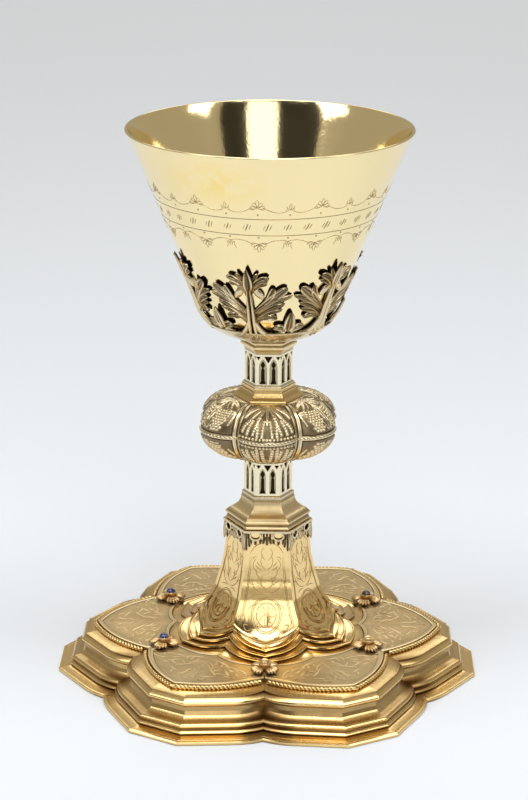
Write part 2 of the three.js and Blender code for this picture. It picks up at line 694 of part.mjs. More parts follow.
const bowlBelly = new THREE.QuadraticBezierCurve(
  new THREE.Vector2(BOWL_SEAT_R, 0),
  new THREE.Vector2(BOWL_BELLY_PULL, 0),
  new THREE.Vector2(BOWL_BELLY_R, BOWL_BELLY_H),
).getPoints(BOWL_BELLY_STEPS);
const bowlLip = new THREE.QuadraticBezierCurve(
  new THREE.Vector2(BOWL_LIP_R, BOWL_H - BOWL_LIP_H),
  new THREE.Vector2(lerp(BOWL_LIP_R, BOWL_RIM_R, 3 / 5), BOWL_H - BOWL_LIP_H / 3),
  new THREE.Vector2(BOWL_RIM_R, BOWL_H - BOWL_WALL / 2),
).getPoints(BOWL_LIP_STEPS);
const bowlProfile = [...bowlBelly, ...bowlLip];

// The inner wall follows the outer one at the wall's thickness, measured square to it.
const bowlInner = bowlProfile.map((point, i) => {
  const before = bowlProfile[Math.max(0, i - 1)];
  const after = bowlProfile[Math.min(bowlProfile.length - 1, i + 1)];
  const along = after.clone().sub(before).normalize();
  return new THREE.Vector2(point.x - along.y * BOWL_WALL, point.y + along.x * BOWL_WALL);
});
bowlInner[bowlInner.length - 1].y = BOWL_H - BOWL_WALL / 2;

const bowl = lathe([
  new THREE.Vector2(0, 0),
  ...bowlProfile,
  new THREE.Vector2(BOWL_RIM_R - BOWL_WALL / 2, BOWL_H),
  ...bowlInner.reverse(),
  new THREE.Vector2(0, BOWL_WALL),
].map((p) => new THREE.Vector2(p.x, BOWL_Z + p.y)));
add('bowl', bowl, 'bowl');

// Radius of the bowl's outside at a height over its seat.
function bowlR(h) {
  const upper = Math.max(1, bowlProfile.findIndex((p) => p.y >= h));
  const [low, high] = [bowlProfile[upper - 1], bowlProfile[upper]];
  return lerp(low.x, high.x, (h - low.y) / (high.y - low.y));
}

// Calyx

// Cup: a moulded foot ring, then a shell that follows the bowl's round bottom.
const bellyUnderRim = bowlBelly.filter((p) => p.y < CUP_RIM_H).map((p) => p.y);
const cupWallHeights = [CUP_RIM_H, ...bellyUnderRim.reverse()];
const cup = lathe([
  new THREE.Vector2(0, CALYX_Z),
  new THREE.Vector2(CUP_FOOT_R, CALYX_Z),
  new THREE.Vector2(CUP_FOOT_R, CALYX_Z + CUP_FOOT_H),
  new THREE.Vector2(bowlR(CUP_RIM_H / 2) + CUP_RIM_W / 2, BOWL_Z),
  new THREE.Vector2(bowlR(CUP_RIM_H) + CUP_RIM_W, BOWL_Z + CUP_RIM_H * 2 / 3),
  ...cupWallHeights.map((h) => new THREE.Vector2(bowlR(h) + LEAF_GAP, BOWL_Z + h)),
  new THREE.Vector2(0, BOWL_Z),
], CUP_SIDES);

// A leaf from rows of height over the bowl's seat, half width in degrees and thickness. Its
// back follows the bowl at LEAF_GAP, and its midrib stands out from the blade.
function leaf(rows, columns, azimuth) {
  const side = (outer) => rows.flatMap(({ h, half, thick }) => columns.map((c) => {
    const rib = LEAF_RIB * (1 - Math.abs(c));
    const r = bowlR(h) + LEAF_GAP + (outer ? thick + rib : 0);
    return polar(r, azimuth + c * deg(half), BOWL_Z + h);
  }));
  const points = [...side(true), ...side(false)];
  const n = columns.length;
  const back = rows.length * n;
  const faces = [];
  const quad = (a, b, c, d) => faces.push(a, b, c, a, c, d);
  for (let row = 0; row + 1 < rows.length; row += 1) {
    const a = row * n;
    for (let c = 0; c + 1 < n; c += 1) {
      quad(a + c, a + c + 1, a + n + c + 1, a + n + c);
      quad(back + a + c, back + a + n + c, back + a + n + c + 1, back + a + c + 1);
    }
    const end = a + n - 1;
    quad(a, a + n, back + a + n, back + a);
    quad(end, back + end, back + end + n, end + n);
  }
  const top = back - n;
  for (let c = 0; c + 1 < n; c += 1) {
    quad(c, back + c, back + c + 1, c + 1);
    quad(top + c, top + c + 1, back + top + c + 1, back + top + c);
  }
  return geometryOf(points, faces);
}

// Rows up a leaf: a stem out of the cup, then lobes with bays between, then the point. The stem
// narrows a little on its way over the bowl's round bottom.
function leafRows(height, halfWidth, stem, lobes) {
  const [low, high] = bowlBelly.slice(2, 4);
  const rows = [CUP_RIM_H / 2, low.y, high.y].map((h, i) => (
    { h, half: stem * (1 - i / 10), thick: LEAF_STEM_T[i] }
  ));
  lobes.forEach(({ at, reach }, i) => {
    const half = reach * halfWidth;
    rows.push({ h: at * height, half, thick: LEAF_BLADE_T });
    const next = lobes[i + 1];
    if (!next) return;
    rows.push({ h: lerp(at, next.at, 1 / 2) * height, half: LEAF_BAY * half, thick: LEAF_BLADE_T });
  });
  rows.push({ h: height, half: LEAF_POINT_HALF, thick: LEAF_POINT_T });
  return rows;
}

const bigRows = leafRows(BIG_LEAF_H, BIG_LEAF_HALF, BIG_STEM_HALF, BIG_LOBES);
const smallRows = leafRows(SMALL_LEAF_H, SMALL_LEAF_HALF, SMALL_STEM_HALF, SMALL_LOBES);
const leaves = [];
for (let k = 0; k < LOBES; k += 1) {
  const azimuth = deg(LEAF_TURN) + k * SECTOR;
  leaves.push(leaf(bigRows, [-1, -1 / 2, 0, 1 / 2, 1], azimuth));
  leaves.push(leaf(smallRows, [-1, 0, 1], azimuth + HALF_SECTOR));
}
add('calyx', geometryFrom(joined([cup, ...leaves])), 'cast');

// Wires

// Twisted wire on a path of points with the outward direction at each: a small section that
// turns as it goes. The path runs with its outward side on the right.
function twistedWire(path, r, returns = false) {
  return ringBody(path.map(({ at, out }, i) => (
    Array.from({ length: WIRE_SIDES }, (_, side) => {
      const turn = 2 * Math.PI * side / WIRE_SIDES + i * deg(WIRE_TWIST);
      const point = at.clone().addScaledVector(out, r * Math.cos(turn));
      point.z -= r * Math.sin(turn);
      return point;
    })
  )), returns);
}

const knopWirePath = Array.from({ length: LOBES * KNOP_STEPS }, (_, i) => {
  const azimuth = (i / KNOP_STEPS - 0.5) * SECTOR;
  const r = knopOutlineR(2 * (i % KNOP_STEPS) / KNOP_STEPS - 1) + KNOP_RELIEF + KNOP_WIRE_R;
  return { at: polar(r, azimuth, KNOP_MID_Z), out: polar(1, azimuth, 0) };
});
add('knop_wire', twistedWire(knopWirePath, KNOP_WIRE_R, true), 'pale');

// Plates of the foot

// A plate's outer edge from its tip to the notch, in a lobe's own directions: u outwards and v
// sideways. It bows out from the chord like a flat parabola.
const plateTipR = FOOT_TIP_R - footIn - PLATE_TIP_GAP;
const plateSideR = notchR(footIn) - PLATE_NOTCH_GAP;
const plateEnd = new THREE.Vector2(
  plateSideR * Math.cos(HALF_SECTOR), plateSideR * Math.sin(HALF_SECTOR) - CLEAR / 2,
);
const plateChord = plateEnd.clone().sub(new THREE.Vector2(plateTipR, 0));
const plateOut = new THREE.Vector2(plateChord.y, -plateChord.x).normalize();

function plateEdge(share, outwards) {
  return new THREE.Vector2(plateTipR, 0)
    .addScaledVector(plateChord, share)
    .addScaledVector(plateOut, 4 * PLATE_SAG * share * (1 - share) + outwards);
}

// The edge over the lowest step of the trumpet's base, from one notch to the other.
function plateInnerEdge() {
  const [corner, middle] = stepEdge(STEPS, 0);
  return Array.from({ length: 2 * SHIELD_STEPS + 1 }, (_, i) => {
    const side = 1 - i / SHIELD_STEPS;
    const r = lerp(corner.r, middle.r, shield(Math.abs(side))) + CLEAR;
    const squeeze = 1 - CLEAR / (r * HALF_SECTOR);
    const angle = side * HALF_SECTOR * squeeze;
    return new THREE.Vector2(r * Math.cos(angle), r * Math.sin(angle));
  });
}

const flip = (p) => new THREE.Vector2(p.x, -p.y);
const plateShares = Array.from({ length: PLATE_STEPS + 1 }, (_, i) => i / PLATE_STEPS);
const plateHalf = plateShares.map((share) => plateEdge(share, 0));
const plateOutline = [
  ...plateHalf.map(flip).reverse(),
  ...plateHalf.slice(1),
  ...plateInnerEdge(),
];
// In the plane of the table, u points to the front and v to the right.
const ontoTable = (p) => new THREE.Vector2(p.y, -p.x);
const plateGeometry = new THREE.ExtrudeGeometry(
  new THREE.Shape(plateOutline.map(ontoTable)), { depth: PLATE_H, bevelEnabled: false },
);
plateGeometry.translate(0, 0, FOOT_H);

// The wire lies beside the edge, with a mitre at the tip, and ends its own radius away from
// the line of the notch, where the next plate's wire comes in.
const wireOut = WIRE_R + CLEAR;
const besideNotch = (p) => p.x * Math.sin(HALF_SECTOR) - p.y * Math.cos(HALF_SECTOR);
let [wireEnd, tooFar] = [0, 1];
while (tooFar - wireEnd > 1e-3) {
  const share = (wireEnd + tooFar) / 2;
  if (besideNotch(plateEdge(share, wireOut)) > wireOut) wireEnd = share;
  else tooFar = share;
}
const tipAlong = plateEdge(1 / PLATE_STEPS, 0).sub(plateEdge(0, 0)).normalize();
const wireHalf = plateShares.slice(1).map((share) => plateEdge(share * wireEnd, wireOut));
const wireTip = new THREE.Vector2(plateTipR + wireOut / tipAlong.y, 0);
const wireLine = [...wireHalf.map(flip).reverse(), wireTip, ...wireHalf];
const wirePath = wireLine.map((p, i) => {
  const before = wireLine[Math.max(0, i - 1)];
  const after = wireLine[Math.min(wireLine.length - 1, i + 1)];
  const along = ontoTable(after.clone().sub(before)).normalize();
  const at = ontoTable(p);
  return {
    at: new THREE.Vector3(at.x, at.y, FOOT_H + WIRE_R),
    out: new THREE.Vector3(along.y, -along.x, 0),
  };
});
const plateWire = twistedWire(wirePath, WIRE_R);

const lobeNames = ['right_front', 'right', 'right_back', 'left_back', 'left', 'left_front'];
lobeNames.forEach((place, k) => {
  const group = aroundAxis(HALF_SECTOR + k * SECTOR);
  add(`plate_${place}`, plateGeometry, 'plate', group);
  add(`plate_wire_${place}`, plateWire, 'foot', group);
});

// Flowers and stones over the notches

// Four humped petals on the diagonals round a claw setting: each ring has one radius and height
// on the petals and another between them.
function flowerRing(petal, between) {
  return Array.from({ length: 8 }, (_, i) => {
    const { r, h } = i % 2 ? petal : between;
    return polar(r, i * Math.PI / 4, PLATE_TOP_Z + h);
  });
}

const flowerOutR = TRUMPET_BASE_CUSP_R + STEP_CUSP_OUT + FLOWER_GAP;
const claw = (h) => ({ r: CLAW_R, h });
const flower = ringBody([
  flowerRing({ r: PETAL_OUT, h: 0 }, { r: CLAW_R + PETAL_VALLEY_W, h: 0 }),
  flowerRing({ r: PETAL_OUT * 3 / 4, h: PETAL_H }, { r: CLAW_R + PETAL_VALLEY_W / 2, h: PETAL_H / 3 }),
  flowerRing(claw(PETAL_H / 2), claw(PETAL_H / 2)),
  flowerRing(claw(CLAW_H), claw(CLAW_H)),
]);
flower.translate(0, -flowerOutR, 0);

const stone = lathe([
  new THREE.Vector2(0, STONE_Z),
  new THREE.Vector2(STONE_R, STONE_Z),
  new THREE.Vector2(STONE_R, STONE_Z + STONE_H * 2 / 5),
  new THREE.Vector2(STONE_R * 3 / 5, STONE_Z + STONE_H * 9 / 10),
  new THREE.Vector2(0, STONE_Z + STONE_H),
], STONE_SIDES);
stone.translate(0, -flowerOutR, 0);

const notches = [
  ['front', 'clearStone'],
  ['front_right', 'clearStone'],
  ['back_right', 'darkStone'],
  ['back', 'darkStone'],
  ['back_left', 'blueStone'],
  ['front_left', 'blueStone'],
];
notches.forEach(([place, finish], k) => {
  const group = aroundAxis(k * SECTOR);
  add(`flower_${place}`, flower, 'cast', group);
  add(`stone_${place}`, stone, finish, group);
});

export default chalice;
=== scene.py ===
import math
from functools import partial

import bmesh
import bpy
import numpy as np
from bpy.props import FloatProperty, FloatVectorProperty, PointerProperty
from mathutils import Matrix


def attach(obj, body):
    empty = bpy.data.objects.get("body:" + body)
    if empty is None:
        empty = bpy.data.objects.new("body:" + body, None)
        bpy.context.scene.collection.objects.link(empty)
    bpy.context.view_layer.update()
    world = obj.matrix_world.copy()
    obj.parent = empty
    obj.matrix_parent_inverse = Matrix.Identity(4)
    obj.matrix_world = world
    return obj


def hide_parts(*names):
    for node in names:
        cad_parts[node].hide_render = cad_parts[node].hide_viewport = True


bl_info = {
    "name": "Silver-gilt altar chalice",
    "version": (1, 0, 0),
    "blender": (4, 5, 0),
    "location": "View3D > Sidebar > Chalice",
    "description": "Lobed foot, trumpet, tracery stem, knop, leaf calyx and bowl",
    "category": "Add Mesh",
}

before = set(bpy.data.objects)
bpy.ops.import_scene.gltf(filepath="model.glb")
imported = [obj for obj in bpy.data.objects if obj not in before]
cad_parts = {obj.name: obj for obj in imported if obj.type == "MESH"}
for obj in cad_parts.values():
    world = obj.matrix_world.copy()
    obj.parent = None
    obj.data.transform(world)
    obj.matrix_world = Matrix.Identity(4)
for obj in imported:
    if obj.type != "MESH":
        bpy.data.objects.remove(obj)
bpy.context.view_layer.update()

# Lengths are millimetres until a mesh is made, but metres on the stage and in the panel's
# settings, as the names there say. The origin is on the table
# under the middle of the foot; azimuths start at the front (-Y) and turn to the right (+X).
MM = 0.001
LOBES = 6
SECTOR = math.tau / LOBES
HALF = SECTOR / 2
COS_HALF = math.cos(HALF)
rad = math.radians
MERGE = 2e-8            # metres within which the points of one piece are merged
FOOT_TOP = 15.6         # height of the foot's top plane
TRUMPET_TOP = 62.5      # height at which the cornice and its apron begin
BURR, VALLEY, ROOT = 0.05, 0.012, 0.25      # an engraved line's edges, its floor and its root
CUT_HOLLOW = np.array([0.35, 1.0, 0.35, 1.0])


# Points and bodies

def polar(r, azimuth, z):
    """Points at radius r, azimuth from the front turning to the right, and height z."""
    r, azimuth, z = np.broadcast_arrays(r, azimuth, z)
    return np.stack((r * np.sin(azimuth), -r * np.cos(azimuth), z), -1)


def bump(x):
    """One at x = 0, falling to nothing at 1 like a cosine."""
    return np.where(np.abs(x) < 1, 0.5 + 0.5 * np.cos(np.pi * np.clip(x, -1, 1)), 0.0)


def ramp(x, low, high):
    """Nothing below low, one above high, and the smooth cubic 3t^2 - 2t^3 between."""
    t = np.clip((x - low) / (high - low), 0, 1)
    return t * t * (3 - 2 * t)


def bodies(points, hollow=0.0, around=True, returns=False):
    """Closed bodies from grids of points (bodies, rows, columns, 3). Columns join up where the
    grid goes around, rows where it returns to its start. Each body's quads are turned so that
    its signed volume, the sum of a.(b x c) + a.(c x d) over its quads, is above zero."""
    points = np.asarray(points, float)
    if points.ndim == 3:
        points = points[None]
    count, rows, columns = points.shape[:3]
    i = np.arange(rows if returns else rows - 1)[:, None]
    j = np.arange(columns if around else columns - 1)[None, :]
    below, above = i * columns, (i + 1) % rows * columns
    left, right = j, (j + 1) % columns
    quads = np.stack((below + left, below + right, above + right, above + left), -1).reshape(-1, 4)
    a, b, c, d = np.moveaxis(points.reshape(count, -1, 3)[:, quads], 2, 0)
    volume = np.einsum("smk,smk->s", a, np.cross(b, c) + np.cross(c, d))
    turned = np.where((volume < 0)[:, None, None], quads[None, :, ::-1], quads[None])
    turned = turned + (np.arange(count) * rows * columns)[:, None, None]
    hollow = np.broadcast_to(hollow, points.shape[:3])
    return points.reshape(-1, 3), turned.reshape(-1, 4), hollow.reshape(-1)


def ring_body(rings, hollow=None):
    """A body of rings (rows, columns, 3) round the axis, closed by its own middle at both ends."""
    rings = np.asarray(rings, float)
    first, last = rings[:1].mean(1, keepdims=True), rings[-1:].mean(1, keepdims=True)
    shape = (1, rings.shape[1], 3)
    points = np.concatenate((np.broadcast_to(first, shape), rings, np.broadcast_to(last, shape)))
    if hollow is None:
        return bodies(points)
    hollow = np.broadcast_to(hollow, rings.shape[:2])
    return bodies(points, np.concatenate((hollow[:1], hollow, hollow[-1:]))[None])


def make_piece(name, parts, material, node, sharp=32.0):
    """One object out of closed bodies: joined, its doubles merged, smooth but for edges sharper
    than the given angle, riding on the root in place of its CAD node. Its 'hollow' attribute
    says how dark its gilding is coloured, from 0 on the ridges to 1: tarnish deep in the relief,
    and painted shade under edges, on the backs of leaves and where parts meet."""
    starts = np.cumsum([0] + [len(points) for points, _, _ in parts])
    points = np.concatenate([points for points, _, _ in parts]) * MM
    quads = np.concatenate([quads + start for (_, quads, _), start in zip(parts, starts)])
    mesh = bpy.data.meshes.new(name)
    mesh.vertices.add(len(points))
    mesh.vertices.foreach_set("co", points.ravel())
    mesh.loops.add(quads.size)
    mesh.loops.foreach_set("vertex_index", quads.ravel().astype(np.int32))
    mesh.polygons.add(len(quads))
    mesh.polygons.foreach_set("loop_start", np.arange(0, quads.size, 4, dtype=np.int32))
    mesh.update(calc_edges=True)
    # Painted shade and tarnish both go into this attribute
    layer = mesh.attributes.new("hollow", "FLOAT", "POINT")
    layer.data.foreach_set("value", np.concatenate([h for _, _, h in parts]).astype(np.float32))
    shell = bmesh.new()
    shell.from_mesh(mesh)
    bmesh.ops.remove_doubles(shell, verts=shell.verts, dist=MERGE)
    shell.to_mesh(mesh)
    shell.free()
    mesh.polygons.foreach_set("use_smooth", np.ones(len(mesh.polygons), bool))
    mesh.set_sharp_from_angle(angle=rad(sharp))
    mesh.materials.append(material)
    piece = bpy.data.objects.new(name, mesh)
    bpy.context.scene.collection.objects.link(piece)
    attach(piece, "root")
    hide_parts(node)
    return piece


# Round and six-sided turning

def turned_ring(profile, sides):
    """Rings of a turned body: the profile's radius carried round the axis at its height."""
    r, z = np.asarray(profile, float).T
    return polar(r[:, None], np.arange(sides) / sides * math.tau, z[:, None])


def six_sided(profile, spread=4):
    """Rings of a six-sided moulding: the profile gives corner radius and height, and each side
    is a straight chord, sampled a few times so that its shading stays even."""
    r, z = np.asarray(profile, float).T
    share = np.concatenate(([-1, -0.985], np.linspace(-0.9, 0.9, spread), [0.985]))
    azimuth = (np.arange(LOBES)[:, None] * SECTOR + share * HALF).ravel()
    flat = COS_HALF / np.cos(np.tile(share, LOBES) * HALF)
    flat = np.where(np.abs(np.tile(share, LOBES)) == 1, flat * 0.9985, flat)
    return polar(r[:, None] * flat, azimuth, z[:, None])


def eased(*knots, rounding=0.12):
    """A profile with each inner corner cut by two points, the given length before and behind."""
    knots = np.asarray(knots, float)
    before, here, after = knots[:-2], knots[1:-1], knots[2:]
    back, on = before - here, after - here
    cut = np.minimum(rounding, 0.4 * np.minimum(np.linalg.norm(back, axis=1),
                                                np.linalg.norm(on, axis=1)))
    unit = lambda v: v / np.linalg.norm(v, axis=1, keepdims=True)
    pairs = np.stack((here + cut[:, None] * unit(back), here + cut[:, None] * unit(on)), 1)
    return np.concatenate((knots[:1], pairs.reshape(-1, 2), knots[-1:]))


def arc(centre, r, start, end, steps):
    """Points of an arc in a profile; angles in degrees, 0 outwards and 90 up."""
    angle = np.radians(np.linspace(start, end, steps))
    return np.stack((centre[0] + r * np.cos(angle), centre[1] + r * np.sin(angle)), 1)


def shield(t):
    """Share of the way from a corner (t = 0) to the middle of a face (t = 1) along a shield's
    edge: 0.86 (1 - (1 - t)^2.1) + 0.14 t^8, a round belly and then a small point."""
    return 0.86 * (1 - (1 - t) ** 2.1) + 0.14 * t ** 8


# Curves and strokes on a surface

def bow(start, bend, end, steps=12):
    """Quadratic curves (curves, steps, 2): (1-t)^2 start + 2t(1-t) bend + t^2 end."""
    start, bend, end = (np.atleast_2d(np.asarray(p, float))[:, None, :]
                        for p in (start, bend, end))
    t = np.linspace(0, 1, steps)[None, :, None]
    return (1 - t) ** 2 * start + 2 * t * (1 - t) * bend + t * t * end


def rings_of(centres, r, steps=28):
    """Closed circles or, with two radii, ellipses (curves, steps, 2)."""
    centres = np.atleast_2d(np.asarray(centres, float))
    turn = np.arange(steps) / steps * math.tau
    r = np.broadcast_to(r, (2,))
    return centres[:, None] + np.stack((r[0] * np.cos(turn), r[1] * np.sin(turn)), 1)


def mirrored(curves):
    """The curves and their mirror images over the line x = 0."""
    curves = np.asarray(curves, float)
    return np.concatenate((curves, curves * np.array([-1.0, 1.0])))


def sideways(curves, returns=False):
    """Unit vectors at right angles to curves (curves, steps, 2), on their left."""
    if returns:
        along = np.roll(curves, -1, 1) - np.roll(curves, 1, 1)
    else:
        along = np.gradient(curves, axis=1)
    side = np.stack((-along[..., 1], along[..., 0]), -1)
    return side / np.maximum(np.linalg.norm(side, axis=-1, keepdims=True), 1e-9)


def graver_cuts(surface, curves, width, returns=False, edge=BURR, dark=1.0):
    """Engraved lines on a surface(x, y, lift). The section is a small V: two raised burrs, a
    dark valley between them, and a root inside the metal. A line that doesn't return runs out
    to a point at both ends, its half width going as the square root of the sine."""
    curves = np.asarray(curves, float)
    steps = curves.shape[1]
    taper = np.ones(steps) if returns else np.sin(np.pi * np.linspace(0, 1, steps)) ** 0.5
    taper = taper[None, :, None]
    offset = np.array([-0.5, 0.0, 0.5, 0.0]) * width * taper
    xy = curves[:, :, None] + sideways(curves, returns)[:, :, None] * offset[..., None]
    lift = np.array([edge, VALLEY, edge, -ROOT]) * np.minimum(1, taper * 2)
    points = surface(xy[..., 0], xy[..., 1], np.broadcast_to(lift, xy.shape[:-1]))
    return bodies(points, dark * CUT_HOLLOW, returns=returns)


LOBE_ACROSS = np.array([-1, -0.88, -0.66, -0.4, -0.16, 0, 0.16, 0.4, 0.66, 0.88, 1])
LOBE_RISE = np.array([0.3, 0.85, 1.0, 0.5, 0.42, 0.8, 0.42, 0.5, 1.0, 0.85, 0.3])
# Darkness across a lobe: tarnish in the two channels, painted shade at both outer edges
LOBE_PATINA_AND_SHADE = np.array([1.0, 0.25, 0.0, 0.75, 0.8, 0.05, 0.8, 0.75, 0.0, 0.25, 1.0])


def cast_lobes(surface, spines, width, thick, base=0.0, lift=0.0, peak=0.6, start=0.45,
               tip=0.5, plain=False, curl=0.0):
    """Cast leaf lobes along spines (lobes, steps, 2) on a surface(x, y, lift). The half width
    grows from the start's share to 1 at the peak and closes to the tip as (1 - q^2)^tip. The
    section has two raised rims, a vein between two channels and a flat back. The back always
    gets painted shade; unless the lobe is plain, the channels are darkened as tarnish and the
    outer edges with painted shade. The lobe lifts off its ground by base + lift * t^2, and drops
    again by curl at its very end."""
    spines = np.asarray(spines, float)
    count, steps = spines.shape[:2]
    column = lambda v: np.broadcast_to(np.asarray(v, float), (count,))[:, None]
    t = np.linspace(0, 1, steps)[None, :] ** 0.85
    q = np.clip((t - column(peak)) / (1 - column(peak)), 0, 1)
    grow = column(start) + (1 - column(start)) * ramp(t, 0, column(peak))
    half = column(width) / 2 * np.where(q > 0, (1 - q * q) ** column(tip), grow)
    rise = np.ones_like(LOBE_RISE) if plain else LOBE_RISE
    rise = rise * (1 - LOBE_ACROSS ** 2 * (0.55 if plain else 0.2))
    across = np.concatenate((LOBE_ACROSS, [0.9, 0.0, -0.9]))
    high = np.concatenate((rise, [0, 0, 0]))
    close = np.minimum(1, np.minimum(t / 0.02, (1 - t) / 0.02)).clip(0, 1)
    xy = spines[:, :, None] + sideways(spines)[:, :, None] * (half[..., None] * across)[..., None]
    raised = column(base) + column(lift) * t ** 2 - column(curl) * ramp(t, 0.82, 1.0)
    body_t = column(thick) * (0.75 + 0.25 * grow) * (1 - 0.35 * q)
    height = raised[..., None] + body_t[..., None] * high * close[..., None]
    # The three back points get painted shade, as the underside of a lobe lies in shade
    hollow = np.concatenate((np.full(len(LOBE_PATINA_AND_SHADE), 0.15) if plain else LOBE_PATINA_AND_SHADE, [1, 1, 1]))
    hollow = np.broadcast_to(hollow, height.shape) * np.where(t < 0.12, 0.8, 1.0)[..., None]
    return bodies(surface(xy[..., 0], xy[..., 1], height), hollow)


def rope(path, outward, r, twists, strands=2, returns=False, around=12):
    """A twisted wire along a path (steps, 3). Its section is a ring whose radius swells once for
    each strand, 0.52 + 0.48 |cos(strands/2 (a - turn))|, and turns as it goes along."""
    path = np.asarray(path, float)
    if returns:
        along = np.roll(path, -1, 0) - np.roll(path, 1, 0)
    else:
        along = np.gradient(path, axis=0)
    along /= np.linalg.norm(along, axis=1, keepdims=True)
    up = np.cross(along, outward)
    up /= np.linalg.norm(up, axis=1, keepdims=True)
    out = np.cross(up, along)
    angle = np.arange(around) / around * math.tau
    share = np.linspace(0, 1, len(path), endpoint=not returns)
    swell = np.abs(np.cos(strands / 2 * (angle - share[:, None] * twists * math.tau)))
    section = r * (0.52 + 0.48 * swell)
    if not returns:
        section = section * np.where((share == 0) | (share == 1), 1e-3, 1.0)[:, None]
    points = (path[:, None] + (section * np.cos(angle))[..., None] * out[:, None]
              + (section * np.sin(angle))[..., None] * up[:, None])
    return bodies(points, 1.0 - swell ** 0.7, returns=returns)


# Surfaces that ornament lies on

BOWL_Z, RIM_Z = 141.0, 220.0


def bowl_profile():
    """Outer profile (radius, height) of the bowl: a round bottom, a straight cone and a lip that
    opens a little, each a quadratic curve or a line."""
    sizes = bpy.context.scene.chalice_sizes
    rim = sizes.bowl_rim / MM / 2
    belly = bow((9, 0), (23.5, 0), (28, 14), 20)[0]
    cone = bow((28, 14), (39.5, 42), (51, 70), 24)[0]
    lip = bow((51, 70), (rim - 1.6, 76.0), (rim, RIM_Z - BOWL_Z - 0.6), 14)[0]
    return np.concatenate((belly, cone[1:], lip[1:])) + np.array([0, BOWL_Z])


def on_bowl(azimuth):
    """Surface over the bowl's outside: x goes round it, y up from its seat, lift outwards, square
    to the wall. The azimuth may be an array, one for each body."""
    profile = bowl_profile()
    step = np.gradient(profile, axis=0)
    slope = np.arctan2(step[:, 0], step[:, 1])

    def surface(x, y, lift):
        z = BOWL_Z + y
        r = np.interp(z, profile[:, 1], profile[:, 0])
        lean = np.interp(z, profile[:, 1], slope)
        turn = np.asarray(azimuth, float).reshape((-1,) + (1,) * (np.ndim(x) - 1))
        return polar(r + lift * np.cos(lean), turn + x / np.maximum(r, 5), z - lift * np.sin(lean))
    return surface


def placed(azimuth, x, out, z):
    """Points x along the line square to an azimuth, out from the axis and z up. The azimuth may be
    an array, one for each body."""
    turn = np.asarray(azimuth, float).reshape((-1,) + (1,) * (np.ndim(x) - 1))
    return np.stack((x * np.cos(turn) + out * np.sin(turn), x * np.sin(turn) - out * np.cos(turn),
                     np.broadcast_to(z, np.broadcast(x, out, z).shape)), -1)


def on_face(azimuth, distance, z=0.0):
    """Surface over an upright flat face: x along it, y up, lift outwards."""
    def surface(x, y, lift):
        return placed(azimuth, x, (distance(y) if callable(distance) else distance) + lift, z + y)
    return surface


def on_table(azimuth, z):
    """Surface over a level plate: x across its lobe, y outwards along it, lift up."""
    def surface(x, y, lift):
        return placed(azimuth, x, y, z + lift)
    return surface


def each(count, curves):
    """The same curves for every one of count places: azimuths to match, and the curves."""
    curves = np.asarray(curves, float)
    azimuth = np.repeat(np.arange(count) * math.tau / count, len(curves))
    return azimuth, np.tile(curves, (count,) + (1,) * (curves.ndim - 1))


# Finishes

def new_group(name, inputs, outputs):
    """An empty node group with typed inputs (name, kind, default) and outputs (name, kind)."""
    group = bpy.data.node_groups.new(name, "ShaderNodeTree")
    for label, kind, default in inputs:
        socket = group.interface.new_socket(label, in_out="INPUT", socket_type=kind)
        socket.default_value = default
    for label, kind in outputs:
        group.interface.new_socket(label, in_out="OUTPUT", socket_type=kind)
    return group, group.nodes.new("NodeGroupInput"), group.nodes.new("NodeGroupOutput")


def node(tree, kind, settings=None, **inputs):
    """A node with its settings and its inputs; an input is a value or another node's socket."""
    made = tree.nodes.new(kind)
    for key, value in (settings or {}).items():
        setattr(made, key, value)
    for key, value in inputs.items():
        numbered = key[0] == "i" and key[1:].isdigit()
        socket = made.inputs[int(key[1:]) if numbered else key.replace("_", " ")]
        if isinstance(value, bpy.types.NodeSocket):
            tree.links.new(value, socket)
        else:
            socket.default_value = value
    return made


def math_node(tree, operation, a, b=0.0, c=0.0, clamp=False):
    """The result of one sum, product or the like."""
    settings = {"operation": operation, "use_clamp": clamp}
    return node(tree, "ShaderNodeMath", settings, i0=a, i1=b, i2=c).outputs[0]


def mix_colour(tree, factor, a, b):
    """Colour a where the factor is 0 and b where it is 1."""
    made = node(tree, "ShaderNodeMix", {"data_type": "RGBA"})
    for index, value in ((0, factor), (6, a), (7, b)):
        if isinstance(value, bpy.types.NodeSocket):
            tree.links.new(value, made.inputs[index])
        else:
            made.inputs[index].default_value = value
    return made.outputs[2]


